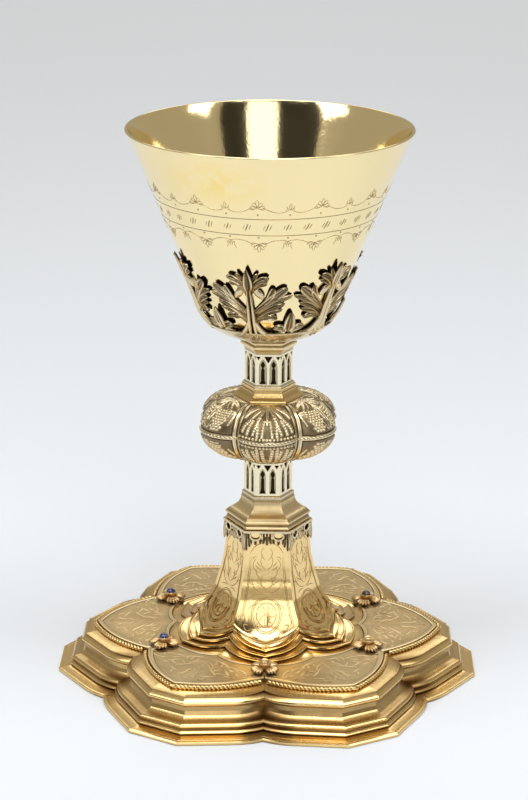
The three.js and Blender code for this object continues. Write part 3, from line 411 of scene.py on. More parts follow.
def tarnish_and_shade_group():
    """Gilding over silver: warm and bright on the ridges, brown to black where the hollow input
    is high, which holds tarnish in the relief and painted shade under edges and where parts meet;
    rubbed paler where hands reach, with blotches and a fine grain of scratches.
    patina_and_shade = clamp(hollow^1.3 * strength + (blotch - 0.5) * blotches)
    rub = clamp((1 - hollow) * rubbing * (grain + 0.5))"""
    group, taken, result = new_group("gilding_tarnish_and_painted_shade", [
        ("Gilding", "NodeSocketColor", (0.9, 0.7, 0.38, 1)),
        ("Rubbed", "NodeSocketColor", (0.9, 0.8, 0.6, 1)),
        ("Tarnish", "NodeSocketColor", (0.08, 0.05, 0.03, 1)),
        ("Hollow", "NodeSocketFloat", 0.0),
        ("Strength", "NodeSocketFloat", 0.9),
        ("Blotches", "NodeSocketFloat", 0.3),
        ("Blotch Scale", "NodeSocketFloat", 60.0),
        ("Rubbing", "NodeSocketFloat", 0.3),
        ("Polish", "NodeSocketFloat", 0.25),
        ("Dullness", "NodeSocketFloat", 0.55),
    ], [("Colour", "NodeSocketColor"), ("Roughness", "NodeSocketFloat"),
        ("Grain", "NodeSocketFloat")])
    calc, given = partial(math_node, group), taken.outputs
    place = node(group, "ShaderNodeTexCoord").outputs["Object"]
    blotch = node(group, "ShaderNodeTexNoise", Vector=place, Scale=given["Blotch Scale"],
                  Detail=4.0, Roughness=0.6).outputs[0]
    fine = node(group, "ShaderNodeTexNoise", Vector=place, Scale=900.0, Detail=3.0).outputs[0]
    spread = calc("MULTIPLY", calc("SUBTRACT", blotch, 0.5), given["Blotches"])
    # Tarnish and painted shade both come in through this one input and darken the colour here
    depth = calc("MULTIPLY", calc("POWER", given["Hollow"], 1.3), given["Strength"])
    patina_and_shade = calc("ADD", depth, spread, clamp=True)
    rub = calc("MULTIPLY", calc("SUBTRACT", 1.0, given["Hollow"], clamp=True),
               calc("MULTIPLY", given["Rubbing"], calc("ADD", fine, 0.5)), clamp=True)
    warm = mix_colour(group, rub, given["Gilding"], given["Rubbed"])
    colour = mix_colour(group, patina_and_shade, warm, given["Tarnish"])
    dull = calc("SUBTRACT", given["Dullness"], given["Polish"])
    rough = calc("ADD", given["Polish"], calc("MULTIPLY", patina_and_shade, dull))
    rough = calc("ADD", rough, calc("MULTIPLY", calc("SUBTRACT", fine, 0.5), 0.1))
    group.links.new(colour, result.inputs["Colour"])
    group.links.new(rough, result.inputs["Roughness"])
    group.links.new(calc("ADD", fine, calc("MULTIPLY", blotch, 2.0)),
                    result.inputs["Grain"])
    return group


def shade(name, **shader):
    """A new material with its Principled shader and the values given."""
    material = bpy.data.materials.new(name)
    material.use_nodes = True
    principled = material.node_tree.nodes["Principled BSDF"]
    for key, value in shader.items():
        principled.inputs[key.replace("_", " ")].default_value = value
    return material, material.node_tree, principled


def gilt(name, gilding, rubbed, tarnish, **values):
    """Gilt silver with its own colour, rubbing, and one dark colour for tarnish and painted shade.
    """
    material, tree, principled = shade(name, Metallic=1.0)
    # The 'hollow' attribute brings tarnish and painted shade into the group
    hollow = node(tree, "ShaderNodeAttribute", {"attribute_name": "hollow"}).outputs["Fac"]
    finish = node(tree, "ShaderNodeGroup",
                  {"node_tree": bpy.data.node_groups["gilding_tarnish_and_painted_shade"]},
                  Gilding=gilding, Rubbed=rubbed, Tarnish=tarnish, Hollow=hollow, **values)
    tree.links.new(finish.outputs["Colour"], principled.inputs["Base Color"])
    tree.links.new(finish.outputs["Roughness"], principled.inputs["Roughness"])
    raised = node(tree, "ShaderNodeBump", Height=finish.outputs["Grain"], Strength=0.06,
                  Distance=0.0004)
    tree.links.new(raised.outputs[0], principled.inputs["Normal"])
    return material, tree, principled, finish


def stained_bowl(material_parts):
    """The bowl's own yellow stain: a soft blot below the rim at the left of the front, broken up
    by noise, mixed over the gilding."""
    material, tree, principled, finish = material_parts
    calc = partial(math_node, tree)
    place = node(tree, "ShaderNodeTexCoord").outputs["Object"]
    moved = node(tree, "ShaderNodeMapping", Vector=place)
    wide, high = 45, 90     # one over the blot's half width and half height, per metre
    moved.inputs["Location"].default_value = (0.0184 * wide, 0.0, -0.2085 * high)
    moved.inputs["Scale"].default_value = (wide, 0, high)
    blot = node(tree, "ShaderNodeTexGradient", {"gradient_type": "SPHERICAL"},
                Vector=moved.outputs[0])
    cloud = node(tree, "ShaderNodeTexNoise", Vector=place, Scale=160.0, Detail=5.0, Roughness=0.65)
    front = node(tree, "ShaderNodeSeparateXYZ", Vector=place).outputs[1]
    facing = calc("LESS_THAN", front, -0.02)
    amount = calc("MULTIPLY", calc("MULTIPLY", blot.outputs[1], facing),
                  calc("MULTIPLY", calc("SUBTRACT", cloud.outputs[0], 0.36), 5.0, clamp=True),
                  clamp=True)
    stained = mix_colour(tree, amount, finish.outputs["Colour"], (0.95, 0.73, 0.27, 1))
    tree.links.new(stained, principled.inputs["Base Color"])
    return material


# Each gilding: finish, material, where rubbed, colour of tarnish and painted shade, then strength
# of that darkening, blotches, blotch scale, rubbing, polish and dullness
GILDINGS = (
    ("bowl", "spun_gilt", (0.97, 0.87, 0.6), (0.12, 0.07, 0.02), 1.1, 0.08, 30.0, 0.12, 0.1, 0.35),
    ("stem", "pale_gilt", (0.95, 0.88, 0.68), (0.04, 0.024, 0.008), 1.25, 0.35, 90.0, 0.4, 0.2,
     0.5),
    ("cast", "cast_gilt", (0.85, 0.76, 0.55), (0.035, 0.018, 0.006), 1.15, 0.45, 110.0, 0.5, 0.22,
     0.5),
    ("foot", "foot_gilt", (0.95, 0.8, 0.48), (0.14, 0.06, 0.014), 1.1, 0.6, 50.0, 0.25, 0.17,
     0.42),
    ("plate", "plate_gilt", (0.88, 0.76, 0.5), (0.12, 0.07, 0.022), 1.05, 0.5, 75.0, 0.3, 0.3,
     0.5),
    ("copper", "worn_copper", (0.86, 0.68, 0.4), (0.05, 0.02, 0.01), 1.0, 0.4, 200.0, 0.3, 0.3,
     0.5),
)
COPPER = (0.68, 0.46, 0.22)
GILDING_VALUES = ("Strength", "Blotches", "Blotch_Scale", "Rubbing", "Polish", "Dullness")


def finishes():
    """All finishes by name."""
    tarnish_and_shade_group()
    tone = bpy.context.scene.chalice_finish
    made = {}
    for key, name, rubbed, tarnish, *values in GILDINGS:
        gilding = getattr(tone, key, COPPER)
        coat = gilt(name, (*gilding, 1.0), (*rubbed, 1.0), (*tarnish, 1.0),
                    **dict(zip(GILDING_VALUES, values)))
        made[key] = stained_bowl(coat) if key == "bowl" else coat[0]
    made["clear"] = shade("rock_crystal", Base_Color=(0.95, 0.96, 0.95, 1), Roughness=0.02,
                          IOR=1.55, Transmission_Weight=1.0)[0]
    made["blue"] = shade("blue_stone", Base_Color=(0.012, 0.022, 0.13, 1), Roughness=0.04,
                         IOR=1.7, Coat_Weight=0.6)[0]
    made["dark"] = shade("dark_stone", Base_Color=(0.04, 0.022, 0.018, 1), Roughness=0.05,
                         IOR=1.7, Coat_Weight=0.6)[0]
    return made


FINISH = {}


def finish(name):
    """A finish, made the first time that one is asked for."""
    if not FINISH:
        FINISH.update(finishes())
    return FINISH[name]


# Sizes and colours a user would change

def length(name, description, default, low, high):
    """A length in metres, with its limits."""
    return FloatProperty(name=name, description=description, default=default, min=low, max=high,
                         unit="LENGTH")


def colour(name, description, default):
    """A colour of metal, linear red, green and blue."""
    return FloatVectorProperty(name=name, description=description, subtype="COLOR",
                               default=default, min=0.0, max=1.0)


class ChaliceSizes(bpy.types.PropertyGroup):
    """Sizes of the chalice."""
    bowl_rim: length("Bowl rim", "Diameter of the bowl's rim", 0.11, 0.1, 0.12)
    graver: length("Graver", "Width of an engraved line", 0.0003, 0.0001, 0.001)
    leaf_rise: length("Leaf rise", "How far the leaves stand off the bowl", 0.0009, 0.0, 0.003)
    wire: length("Wire", "Radius of the twisted wires", 0.0009, 0.0004, 0.002)


class ChaliceFinish(bpy.types.PropertyGroup):
    """Colours of the gilding."""
    bowl: colour("Bowl", "Gilding of the bowl", (0.96, 0.79, 0.43))
    stem: colour("Stem", "Gilding of stem and wires", (0.88, 0.76, 0.5))
    cast: colour("Cast work", "Gilding of calyx, knop and apron", (0.74, 0.58, 0.33))
    foot: colour("Foot", "Gilding of foot, trumpet and cap", (0.96, 0.68, 0.28))
    plate: colour("Plates", "Gilding of plates, cornice and neck", (0.88, 0.68, 0.36))


class Maker:
    """What the operators share: each makes its pieces in make() and finishes."""
    bl_options = {"REGISTER", "UNDO"}

    def execute(self, context):
        self.make(context)
        return {"FINISHED"}


# Bowl

ROW_Y = 50.5            # middle of the engraved band above the seat
BAND_HALF = 3.35        # from there to its two lines
STROKE_GROUPS = 36      # groups of leaning strokes round the band
FESTOONS = 12           # palmettes in each of the two festoons
FESTOON_TURN = rad(-4.4)
FESTOON_ROWS = ((59.6, True), (42.4, False))    # height above the seat, and whether it points up
WALL = 1.2              # the bowl's metal
ROUND = 240             # points round the bowl


def band_strokes():
    """The band's row of shallow strokes, none of them a letter: groups of three parallel leaning
    strokes, thick ones in the middle and hair strokes beside them, of lengths that alternate."""
    group = np.arange(STROKE_GROUPS)
    tall = np.choose(group % 3, [1.75, 1.4, 1.6])
    kinds = []
    for place, share, thick in ((-1.15, 0.62, 0.9), (0.0, 1.0, 1.9), (1.15, 0.74, 1.1)):
        high = tall * share
        top = np.stack((place + 0.42 * high, high), 1)
        low = np.stack((place - 0.42 * high, -high), 1)
        bend = np.stack((place + 0.16 * (-1.0) ** group, 0 * high), 1)
        kinds.append((bow(top, bend, low, 8), thick))
    return group, kinds


def palmette(y, up, size=1.2):
    """A small engraved palmette at height y: five leaves fanned from its foot and two curls, each
    leaf drawn by its two edges."""
    angle = np.radians([-76, -38, 0, 38, 76])
    reach = size * np.array([2.5, 2.5, 3.0, 2.5, 2.5])
    root = np.zeros((5, 2)) + [0, -1.0 * size]
    tip = np.stack((np.sin(angle), np.cos(angle)), 1) * reach[:, None] + root
    side = np.stack((np.cos(angle), -np.sin(angle)), 1) * 0.95 * size
    middle = 0.4 * root + 0.6 * tip
    curls = mirrored(bow([(0.3, -1.0)], [(2.2, -2.0)], [(2.7, -0.7)], 9)) * size
    both = np.concatenate((bow(root, middle + side, tip, 9), bow(root, middle - side, tip, 9),
                           curls))
    return both * [1, 1 if up else -1] + [0, y]


def festoon(y, up):
    """Hanging arcs between palmettes: each half runs from a palmette down to a low point and up
    to the bud in the middle, with a small curl where it starts."""
    step = math.tau * 47 / FESTOONS
    sign = 1 if up else -1
    halves = bow([(1.6, -0.6)], [(0.3 * step, -4.6)], [(step / 2 - 0.5, -1.7)], 14)
    curl = bow([(step / 2 - 2.0, -2.3)], [(step / 2 - 0.9, -0.6)], [(step / 2 - 1.8, -0.4)], 14)
    bud = bow([(step / 2 - 0.1, -2.0)], [(step / 2 - 1.1, -0.5)], [(step / 2, 0.9)], 14)
    leaf = bow([(step / 2 - 0.3, -1.8)], [(step / 2 - 1.6, -1.4)], [(step / 2 - 1.5, -0.1)], 14)
    return mirrored(np.concatenate((halves, curl, bud, leaf))) * [1, sign] + [0, y]


class CHALICE_OT_bowl(Maker, bpy.types.Operator):
    """Spins the bowl with its wall and rim, and engraves the band, festoons and palmettes."""
    bl_idname = "chalice.bowl"
    bl_label = "Bowl"

    def make(self, context):
        outer = bowl_profile()
        step = np.gradient(outer, axis=0)
        normal = np.stack((step[:, 1], -step[:, 0]), 1) / np.linalg.norm(step, axis=1,
                                                                         keepdims=True)
        inner = outer - WALL * normal
        inner[-1, 1] = outer[-1, 1]
        rim = arc(((outer[-1, 0] + inner[-1, 0]) / 2, outer[-1, 1]),
                  (outer[-1, 0] - inner[-1, 0]) / 2,
                  0, 180, 9)[1:-1]
        profile = np.concatenate(([(0, BOWL_Z)], outer, rim, inner[::-1], [(0, BOWL_Z + WALL)]))
        parts = [bodies(turned_ring(profile, ROUND))]
        graver = context.scene.chalice_sizes.graver / MM
        for y in (ROW_Y - BAND_HALF, ROW_Y + BAND_HALF):
            parts.append(self.line_around(y, graver))
        group, kinds = band_strokes()
        for stroke, share in kinds:
            parts.append(graver_cuts(on_bowl(group * math.tau / STROKE_GROUPS),
                                     stroke + [0, ROW_Y], graver * share))
        for y, up in FESTOON_ROWS:
            for curves in (palmette(y, up), festoon(y, up)):
                azimuth, curves = each(FESTOONS, curves)
                parts.append(graver_cuts(on_bowl(azimuth + FESTOON_TURN), curves, graver * 0.85))
            dots = rings_of([(0, y + (-3.9 if up else 3.9))], 0.28, 8)
            azimuth, dots = each(2 * FESTOONS, dots)
            parts.append(graver_cuts(on_bowl(azimuth + FESTOON_TURN), dots, graver * 0.8,
                                     returns=True))
        make_piece("spun_bowl", parts, finish("bowl"), "bowl", sharp=50)

    def line_around(self, y, width):
        """A closed engraved line round the bowl: the V section at every point of the circle."""
        profile = bowl_profile()
        offsets = np.array([0.5, 0.0, -0.5, 0.0]) * width
        lifts = np.array([BURR, VALLEY, BURR, -ROOT])
        z = BOWL_Z + y + offsets
        r = np.interp(z, profile[:, 1], profile[:, 0]) + lifts
        turn = np.arange(ROUND) / ROUND * math.tau
        points = polar(r[None, :], turn[:, None], z[None, :])
        return bodies(points, CUT_HOLLOW, returns=True)


# Calyx

LEAF_TURN = rad(-12.4)
# One side of a large leaf, from the bottom up. Each lobe: where it leaves the midrib, where it
# bends, where it ends (x from the midrib, y above the bowl's seat), its width and its lift.
SIDE_LOBES = (
    ((1.2, 9.6), (4.6, 14.4), (9.6, 12.0), 2.7, 0.5),      # low curl over the opening
    ((1.0, 10.4), (4.6, 14.6), (11.9, 16.0), 1.8, 0.4),    # long side leaf, lower and upper rib
    ((0.9, 11.2), (5.2, 16.6), (13.0, 18.6), 2.3, 0.5),
    ((0.9, 13.2), (6.6, 19.4), (16.2, 22.0), 2.4, 0.5),    # broad side leaf
    ((1.0, 14.2), (7.6, 20.2), (14.6, 25.6), 3.8, 0.8),    # its two round scallops
    ((4.6, 18.4), (8.0, 20.6), (9.4, 25.6), 2.8, 0.8),
    ((0.6, 20.6), (1.6, 27.0), (7.4, 27.2), 2.0, 0.5),     # under rib of the top curl
    ((0.6, 21.6), (1.4, 28.6), (8.2, 29.9), 2.9, 0.9),     # top curl
    ((0.5, 22.5), (1.2, 28.4), (4.2, 31.8), 1.8, 0.8),     # finger beside the point
)
BUD = ((2.2, 24.6), (3.4, 23.6), (5.3, 20.6), 2.9, 0.3)    # round bud that drops into the hole


class CHALICE_OT_calyx(Maker, bpy.types.Operator):
    """Casts the calyx: a moulded cup, six large acanthus leaves and six small ones between."""
    bl_idname = "chalice.calyx"
    bl_label = "Calyx"

    def make(self, context):
        rise = context.scene.chalice_sizes.leaf_rise / MM
        bowl = bowl_profile()
        inner = bowl[(bowl[:, 1] < BOWL_Z + 4.2)] + [0.35, -0.1]
        cup = np.concatenate((
            [(0, 138.7)],
            eased((0, 138.7), (12.6, 138.7), (13.2, 139.0), (13.2, 139.5), (14.6, 139.9),
                  (17.0, 140.0), (19.6, 141.2), (22.4, 143.0), (24.6, 144.9), (25.3, 145.9),
                  (24.6, 146.1), (23.6, 145.4), rounding=0.35)[1:],
            inner[::-1], [(0, BOWL_Z - 0.1)]))
        # Painted shade: the cup's rim, in the gaps where it meets the bowl, and its foot over the
        # neck are coloured dark
        dark = ramp(cup[:, 1], 145.2, 146.0)[:, None] * 0.7 + (cup[:, 1] < 139.6)[:, None] * 0.6
        self.parts = [bodies(turned_ring(cup, 144), dark[None])]
        for start, bend, end, width, lift in SIDE_LOBES:
            self.leaves(mirrored(bow(start, bend, end, 20)), width, 1.15, lift=lift * rise,
                        base=0.2 * rise, peak=0.76, start=0.4, tip=0.45)
        start, bend, end, width, lift = BUD
        self.leaves(mirrored(bow(start, bend, end, 14)), width, 1.5, lift=lift * rise,
                    base=0.3 * rise, peak=0.6, start=0.55, tip=0.5, plain=True)
        # Midrib: two ridges with a dark groove between them, then the leaf that ends in the point
        self.leaves(mirrored(bow((1.05, 3.0), (0.95, 12), (0.55, 25.5), 24)), 1.5, 2.0,
                    lift=0.2 * rise, base=0.4 * rise, peak=0.2, start=1.25, tip=0.6, plain=True)
        self.leaves(bow((0, 23.0), (0, 28), (0, 33.8), 18), 3.9, 1.6, lift=0.9 * rise,
                    base=0.6 * rise, peak=0.42, start=0.3, tip=0.85)
        # Flared foot of each stem, and the small leaves between the large ones
        self.leaves(mirrored(bow((6.4, 4.3), (1.9, 5.2), (1.3, 11.5), 14)), 2.0, 1.7, lift=0.2,
                    base=0.5 * rise, peak=0.5, start=0.9, tip=0.5, plain=True)
        self.leaves(bow((0, 4.4), (0, 9), (0, 15.2), 16), 4.7, 1.6, lift=0.8 * rise,
                    base=0.4 * rise, peak=0.5, start=0.45, tip=0.75, between=True)
        self.leaves(mirrored(bow((0.4, 5.0), (1.8, 9.2), (5.9, 8.3), 16)), 3.0, 1.4,
                    lift=0.6 * rise, base=0.35 * rise, peak=0.68, start=0.5, tip=0.45,
                    between=True)
        self.leaves(mirrored(bow((4.2, 4.4), (1.3, 4.9), (0.7, 8.0), 10)), 1.6, 1.5, lift=0.2,
                    base=0.4 * rise, peak=0.5, start=0.9, tip=0.5, plain=True, between=True)
        make_piece("leaf_calyx", self.parts, finish("cast"), "calyx", sharp=62)

    def leaves(self, spines, width, thick, between=False, **shape):
        """The same lobes on all six large leaves, or on the small ones between them."""
        azimuth, spines = each(LOBES, spines)
        surface = on_bowl(azimuth + LEAF_TURN + (HALF if between else 0))
        self.parts.append(cast_lobes(surface, spines, width, thick, **shape))


# Stem, neck, cap and cornice

def drum(z, top, r, foot_out, relief, up, across=80):
    """A six-sided drum with its fillet: each face a grid of x and height, sunk by the relief in
    millimetres square to the face. Corners keep their place, as the relief is nothing there."""
    share = np.linspace(-1, 1, across, endpoint=False)
    level = np.linspace(z + 1.3, top, up)
    x = share * r / 2
    depth = relief(x[None, :], level[:, None])
    wide, tall = np.broadcast_arrays(x, level[:, None])
    face = on_face(0.0, r * COS_HALF)(wide, tall, -depth)
    turn = np.arange(LOBES) * SECTOR
    rows = [np.stack((face[..., 0] * math.cos(a) - face[..., 1] * math.sin(a),
                      face[..., 0] * math.sin(a) + face[..., 1] * math.cos(a), face[..., 2]), -1)
                      for a in turn]
    wall = np.concatenate(rows, 1)
    full_dark = 0.7     # depth from which a recess gets full painted shade
    # Painted shade: the deeper a point is sunk, the darker it is coloured, so windows and
    # triangles read as dark openings; the fillet gets a little
    hollow = np.tile(np.clip(depth / full_dark, 0, 1), (1, LOBES))
    swing = np.arctan(share * math.tan(HALF))
    corner = np.tile(COS_HALF / np.cos(swing), LOBES)
    azimuth = np.repeat(turn, across) + np.tile(swing, LOBES)
    fillet = eased((r + foot_out, z), (r + foot_out, z + 0.75), (r + 0.1, z + 1.1), (r, z + 1.2))
    below = polar(fillet[:, :1] * corner, azimuth, fillet[:, 1:])
    rings = np.concatenate((below, wall))
    return ring_body(rings, np.concatenate((np.full(below.shape[:2], 0.25), hollow)))


def lancets(x, z, sill, height, pitch, arch):
    """Depth of a pair of cusped windows, t going from the sill to the arch's point. Each is a
    shallow recess under a pointed arch with a slit through it: a flared foot, a straight body,
    a narrow neck at the cusps and a pointed head. A raised moulding runs round the recess."""
    t = (z - sill) / height
    slit_half = np.interp(t, [0, 0.03, 0.1, 0.17, 0.55, 0.6, 0.64, 0.7, 0.76, 0.84, 0.91],
                          [0.98, 0.95, 0.72, 0.62, 0.6, 0.4, 0.24, 0.55, 0.82, 0.5, 0.0])
    aside = np.minimum(np.abs(x - pitch / 2), np.abs(x + pitch / 2))
    slit = ramp(slit_half - aside, -0.1, 0.08) * (t > 0) * (t < 0.91)
    arch_half = arch * (1 - np.clip((t - 0.6) / 0.4, 0, 1) ** 2) ** 0.72
    recess = ramp(arch_half - aside, -0.08, 0.08) * (t > -0.01)
    moulding = bump((aside - arch_half - 0.16) / 0.2) * (t > 0) * (t < 1.06)
    return np.maximum(1.15 * slit, 0.34 * recess) - 0.14 * moulding * (1 - recess)


def triangles(x, z, top, half, high, side, side_half, side_high):
    """Depth of the dark triangles over the windows: a large one between the heads and a small
    one on each side, all with their points down."""
    t = np.clip((top - z) / high, 0, 1)
    middle = ramp((1 - t) * half - np.abs(x), -0.1, 0.1) * (z > top - high)
    t = np.clip((top - z) / side_high, 0, 1)
    aside = np.abs(np.abs(x) - side)
    beside = ramp((1 - t) * side_half - aside, -0.1, 0.1) * (z > top - side_high)
    return np.maximum(middle, beside) * (z < top)


def moulding(name, profile, heights, shades, kind, part):
    """A six-sided moulding of the stem, with its depth in the shade given at some heights."""
    dark = np.interp(profile[:, 1], heights, shades)
    make_piece(name, [ring_body(six_sided(profile), dark[:, None])], finish(kind), part)


class CHALICE_OT_stem(Maker, bpy.types.Operator):
    """Builds both tracery drums, the cap over the knop and the neck under the calyx."""
    bl_idname = "chalice.stem"
    bl_label = "Stem"

    def make(self, context):
        def lower(x, z):
            return np.maximum(lancets(x, z, sill=75.7, height=10.2, pitch=3.95, arch=1.2),
                              triangles(x, z, top=87.3, half=1.35, high=2.4, side=3.55,
                                        side_half=0.75, side_high=1.3))

        def upper(x, z):
            return np.maximum(lancets(x, z, sill=120.7, height=9.9, pitch=4.15, arch=1.5),
                              triangles(x, z, top=131.7, half=1.45, high=2.5, side=3.8,
                                        side_half=0.7, side_high=1.2))

        drums = {"lower": drum(z=73.5, top=90.6, r=9.55, foot_out=0.8, relief=lower, up=120),
                 "upper": drum(z=119.0, top=132.5, r=9.3, foot_out=0.75, relief=upper, up=100)}
        for place, body in drums.items():
            make_piece(f"tracery_{place}", [body], finish("stem"), f"stem_{place}",
                       sharp=40)
        neck = eased((9.3, 132.5), (9.5, 133.3), (10.0, 134.0), (10.9, 134.8), (11.05, 135.1),
                     (11.05, 135.8), (10.5, 136.1), (10.45, 136.4), (10.95, 136.8), (10.95, 137.5),
                     (10.2, 137.9), (10.1, 138.7), rounding=0.1)
        moulding("neck_moulding", neck, [132.5, 133.4, 134.6, 135.9, 136.25, 136.6, 137.8, 138.2],
                 [0.7, 0.4, 0.1, 0.1, 0.9, 0.1, 0.3, 0.9], "plate", "neck")
        cap = eased((13.9, 114.0), (13.9, 114.5), (13.3, 114.9), (12.0, 115.6), (11.2, 116.4),
                    (10.85, 117.2), (10.9, 117.5), (10.6, 117.7), (10.6, 119.0), rounding=0.1)
        moulding("cap_moulding", cap, [114, 114.4, 115.2, 117.2, 117.6, 118.0],
                 [0.8, 0.15, 0.45, 0.25, 0.7, 0.2], "foot", "knop_cap")


APRON_R, APRON_OUT = 17.1, 17.75      # corner radii of the apron's band, inside and outside
# Half of the leaves under a face, from its middle. Each: root, bend and end (x from the middle, y
# above the cornice's foot), width and lift.
APRON_LEAVES = (
    ((0, -2.6), (0, -4.0), (0, -6.1), 1.6, 0.7), ((0.7, -2.8), (1.5, -4.0), (1.5, -5.6), 1.1, 0.4),
    ((2.7, -3.4), (2.3, -4.4), (2.9, -5.5), 1.1, 0.6),
    ((4.5, -3.7), (4.5, -4.8), (4.5, -6.0), 1.3, 0.4),
    ((6.2, -3.4), (6.8, -4.2), (6.0, -5.6), 1.1, 0.6),
    ((8.0, -0.7), (8.2, -4.6), (8.1, -8.5), 1.6, 0.8),
    ((7.6, -3.6), (6.8, -5.0), (6.9, -6.9), 1.4, 0.5),
    ((7.5, -1.6), (7.2, -2.8), (7.2, -4.0), 1.1, 0.4),
    ((1.0, -0.8), (1.4, -1.7), (1.3, -2.9), 0.9, 0.3), ((0, -0.7), (0, -1.6), (0, -2.8), 0.9, 0.3),
)


class CHALICE_OT_cornice(Maker, bpy.types.Operator):
    """Builds the cornice between trumpet and stem, and the pierced apron that hangs from it."""
    bl_idname = "chalice.cornice"
    bl_label = "Cornice and apron"

    def make(self, context):
        roof = bow((15.6, 66.9), (11.2, 68.2), (10.6, 72.0), 9)[0]
        cornice = np.concatenate((eased(
            (16.3, TRUMPET_TOP), (16.7, 62.7), (16.7, 63.4), (16.2, 63.7), (16.1, 64.4),
            (16.4, 64.9), (16.9, 65.1),
            (16.9, 65.8), (16.2, 66.2), (15.6, 66.9), rounding=0.1), roof[1:],
            [(10.6, 72.4), (10.3, 72.7), (10.3, 73.5)]))
        moulding("cornice_moulding", cornice,
                 [62.5, 62.9, 63.5, 63.9, 64.5, 65.0, 65.7, 66.4, 67.0, 71.5, 72.6],
                 [0.3, 0.1, 0.2, 0.9, 0.8, 0.15, 0.1, 0.75, 0.15, 0.3, 0.6], "plate", "cornice")
        # The apron: a band, two oval rings a face, leaves along the hem and at the corners
        top, flat = TRUMPET_TOP, APRON_R * COS_HALF
        ring = six_sided([(r, top - down) for r, down in (
            (APRON_R, 0.9), (APRON_OUT, 0.9), (APRON_OUT, 0.05), (APRON_R, 0.05))])
        parts = [bodies(ring, 0.1, returns=True)]
        face = np.arange(LOBES) * SECTOR
        for centre in (-4.5, 4.5):
            azimuth, ovals = each(LOBES, rings_of([(centre, -2.2)], (2.0, 1.65), 24))
            parts.append(self.band(on_face(azimuth, flat, top), ovals, 0.8, 0.6))
        for start, bend, end, width, lift in APRON_LEAVES:
            spines = bow(start, bend, end, 12)
            azimuth, spines = each(LOBES, mirrored(spines) if start[0] else spines)
            parts.append(cast_lobes(on_face(azimuth, flat, top), spines, width, 0.6,
                                    lift=lift * 0.4, peak=0.6, start=0.5, tip=0.5))
        make_piece("pierced_apron", parts, finish("cast"), "apron", sharp=55)

    def band(self, surface, curves, width, thick):
        """A flat closed band along closed curves: a rectangle carried round each of them."""
        side = sideways(curves, returns=True)
        offset = np.array([-0.5, -0.35, 0.35, 0.5, 0.5, -0.5]) * width
        lift = np.array([0.6, 1.0, 1.0, 0.6, 0.0, 0.0]) * thick
        xy = curves[:, :, None] + side[:, :, None] * offset[:, None]
        return bodies(surface(xy[..., 0], xy[..., 1], np.broadcast_to(lift, xy.shape[:-1])),
                      np.array([0.6, 0.0, 0.0, 0.6, 1.0, 1.0]), returns=True)


# Knop

KNOP_Z, KNOP_DOWN, KNOP_UP = 102.8, 12.3, 11.2
LOBE_R, LOBE_OUT = 12.7, 15.6
POLE_DOWN, POLE_UP = 11.0, 13.4                 # radius where the lobes begin, below and above
KNOP_SPAN = 18.5                                # way from the pole to the wire
FIGURE_HIGH, FIELD_DEEP = 0.72, 0.28            # relief above the sunk field, and its depth


def knop_outline(s):
    """Radius of the lobed outline: a circle of LOBE_R whose middle lies LOBE_OUT from the axis,
    s from -1 to 1 across a lobe."""
    aside = LOBE_OUT * np.sin(s * HALF)
    return LOBE_OUT * np.cos(s * HALF) + np.sqrt(LOBE_R ** 2 - aside ** 2)


def beads(x, y, places, r):
    """Height of round beads at places (n, 2): the largest of 1 - (distance / r)^2, to the half."""
    far = (x[..., None] - places[:, 0]) ** 2 + (y[..., None] - places[:, 1]) ** 2
    return np.sqrt(np.clip(1 - far / r ** 2, 0, 1)).max(-1)


def strip(x, y, curve, width):
    """Height of a rounded rib along a curve (steps, 2): 1 on it, nothing half a width away; the
    width tapers to the end by a third."""
    far = (x[..., None] - curve[:, 0]) ** 2 + (y[..., None] - curve[:, 1]) ** 2
    taper = np.linspace(1, 0.62, len(curve))
    return np.sqrt(np.clip(1 - far / (width / 2 * taper) ** 2, 0, 1)).max(-1)


def bunch(centre, wide, high, r, lean=0.0):
    """Middles of the grapes in a bunch: rows of a triangle packing, cut to a shield's outline."""
    row, column = np.meshgrid(np.arange(-6, 7), np.arange(-6, 7), indexing="ij")
    u = (column + 0.5 * (row % 2)) * 2.0 * r
    v = row * 1.72 * r
    kept = (np.abs(u) < wide / 2 * (1 - 0.55 * (v / high + 0.5)) + 0.2) & (np.abs(v) < high / 2)
    return np.stack((centre[0] + u[kept] + lean * v[kept], centre[1] + v[kept]), 1)


def along(curve, spacing):
    """Points spaced evenly along a curve (steps, 2)."""
    length = np.concatenate(([0], np.cumsum(np.linalg.norm(np.diff(curve, axis=0), axis=1))))
    at = np.arange(spacing / 2, length[-1], spacing)
    return np.stack((np.interp(at, length, curve[:, 0]), np.interp(at, length, curve[:, 1])), 1)


def ribs(x, y, rows):
    """Leaf ribs on both sides of a lobe, each with a fine groove along its middle."""
    high = 0 * x
    for start, bend, end, width in rows:
        curve = bow(start, bend, end, 26)[0]
        high = np.maximum(high, strip(np.abs(x), y, curve, width) - 0.5
                          * strip(np.abs(x), y, curve, width * 0.3))
    return high


def grape_lobe(x, y, high):
    """Vine on a lobe: two bunches hang from a stem with a leaf over each and thin tendrils.
    x is across the lobe, y the way down from the pole, in millimetres."""
    grapes = beads(np.abs(x), y, bunch((4.6, 0.66 * high), 6.8, 0.5 * high, 0.6), 0.6)
    stems = ribs(x, y, (((0.0, 0.8), (2.0, 0.3 * high), (4.4, 0.38 * high), 1.0),
                        ((0.3, 1.2), (3.6, 0.1 * high), (7.8, 0.34 * high), 1.9),
                        ((1.0, 1.6), (2.8, 0.16 * high), (6.0, 0.4 * high), 1.5),
                        ((0.0, 0.2 * high), (1.2, 0.5 * high), (0.3, 0.88 * high), 1.1),
                        ((0.4, 0.3 * high), (2.0, 0.36 * high), (1.6, 0.56 * high), 0.8),
                        ((7.4, 0.42 * high), (9.4, 0.5 * high), (8.6, 0.76 * high), 1.0),
                        ((0.8, 0.9 * high), (2.0, 0.8 * high), (2.2, 0.7 * high), 0.8)))
    return np.maximum(grapes, 0.8 * stems)


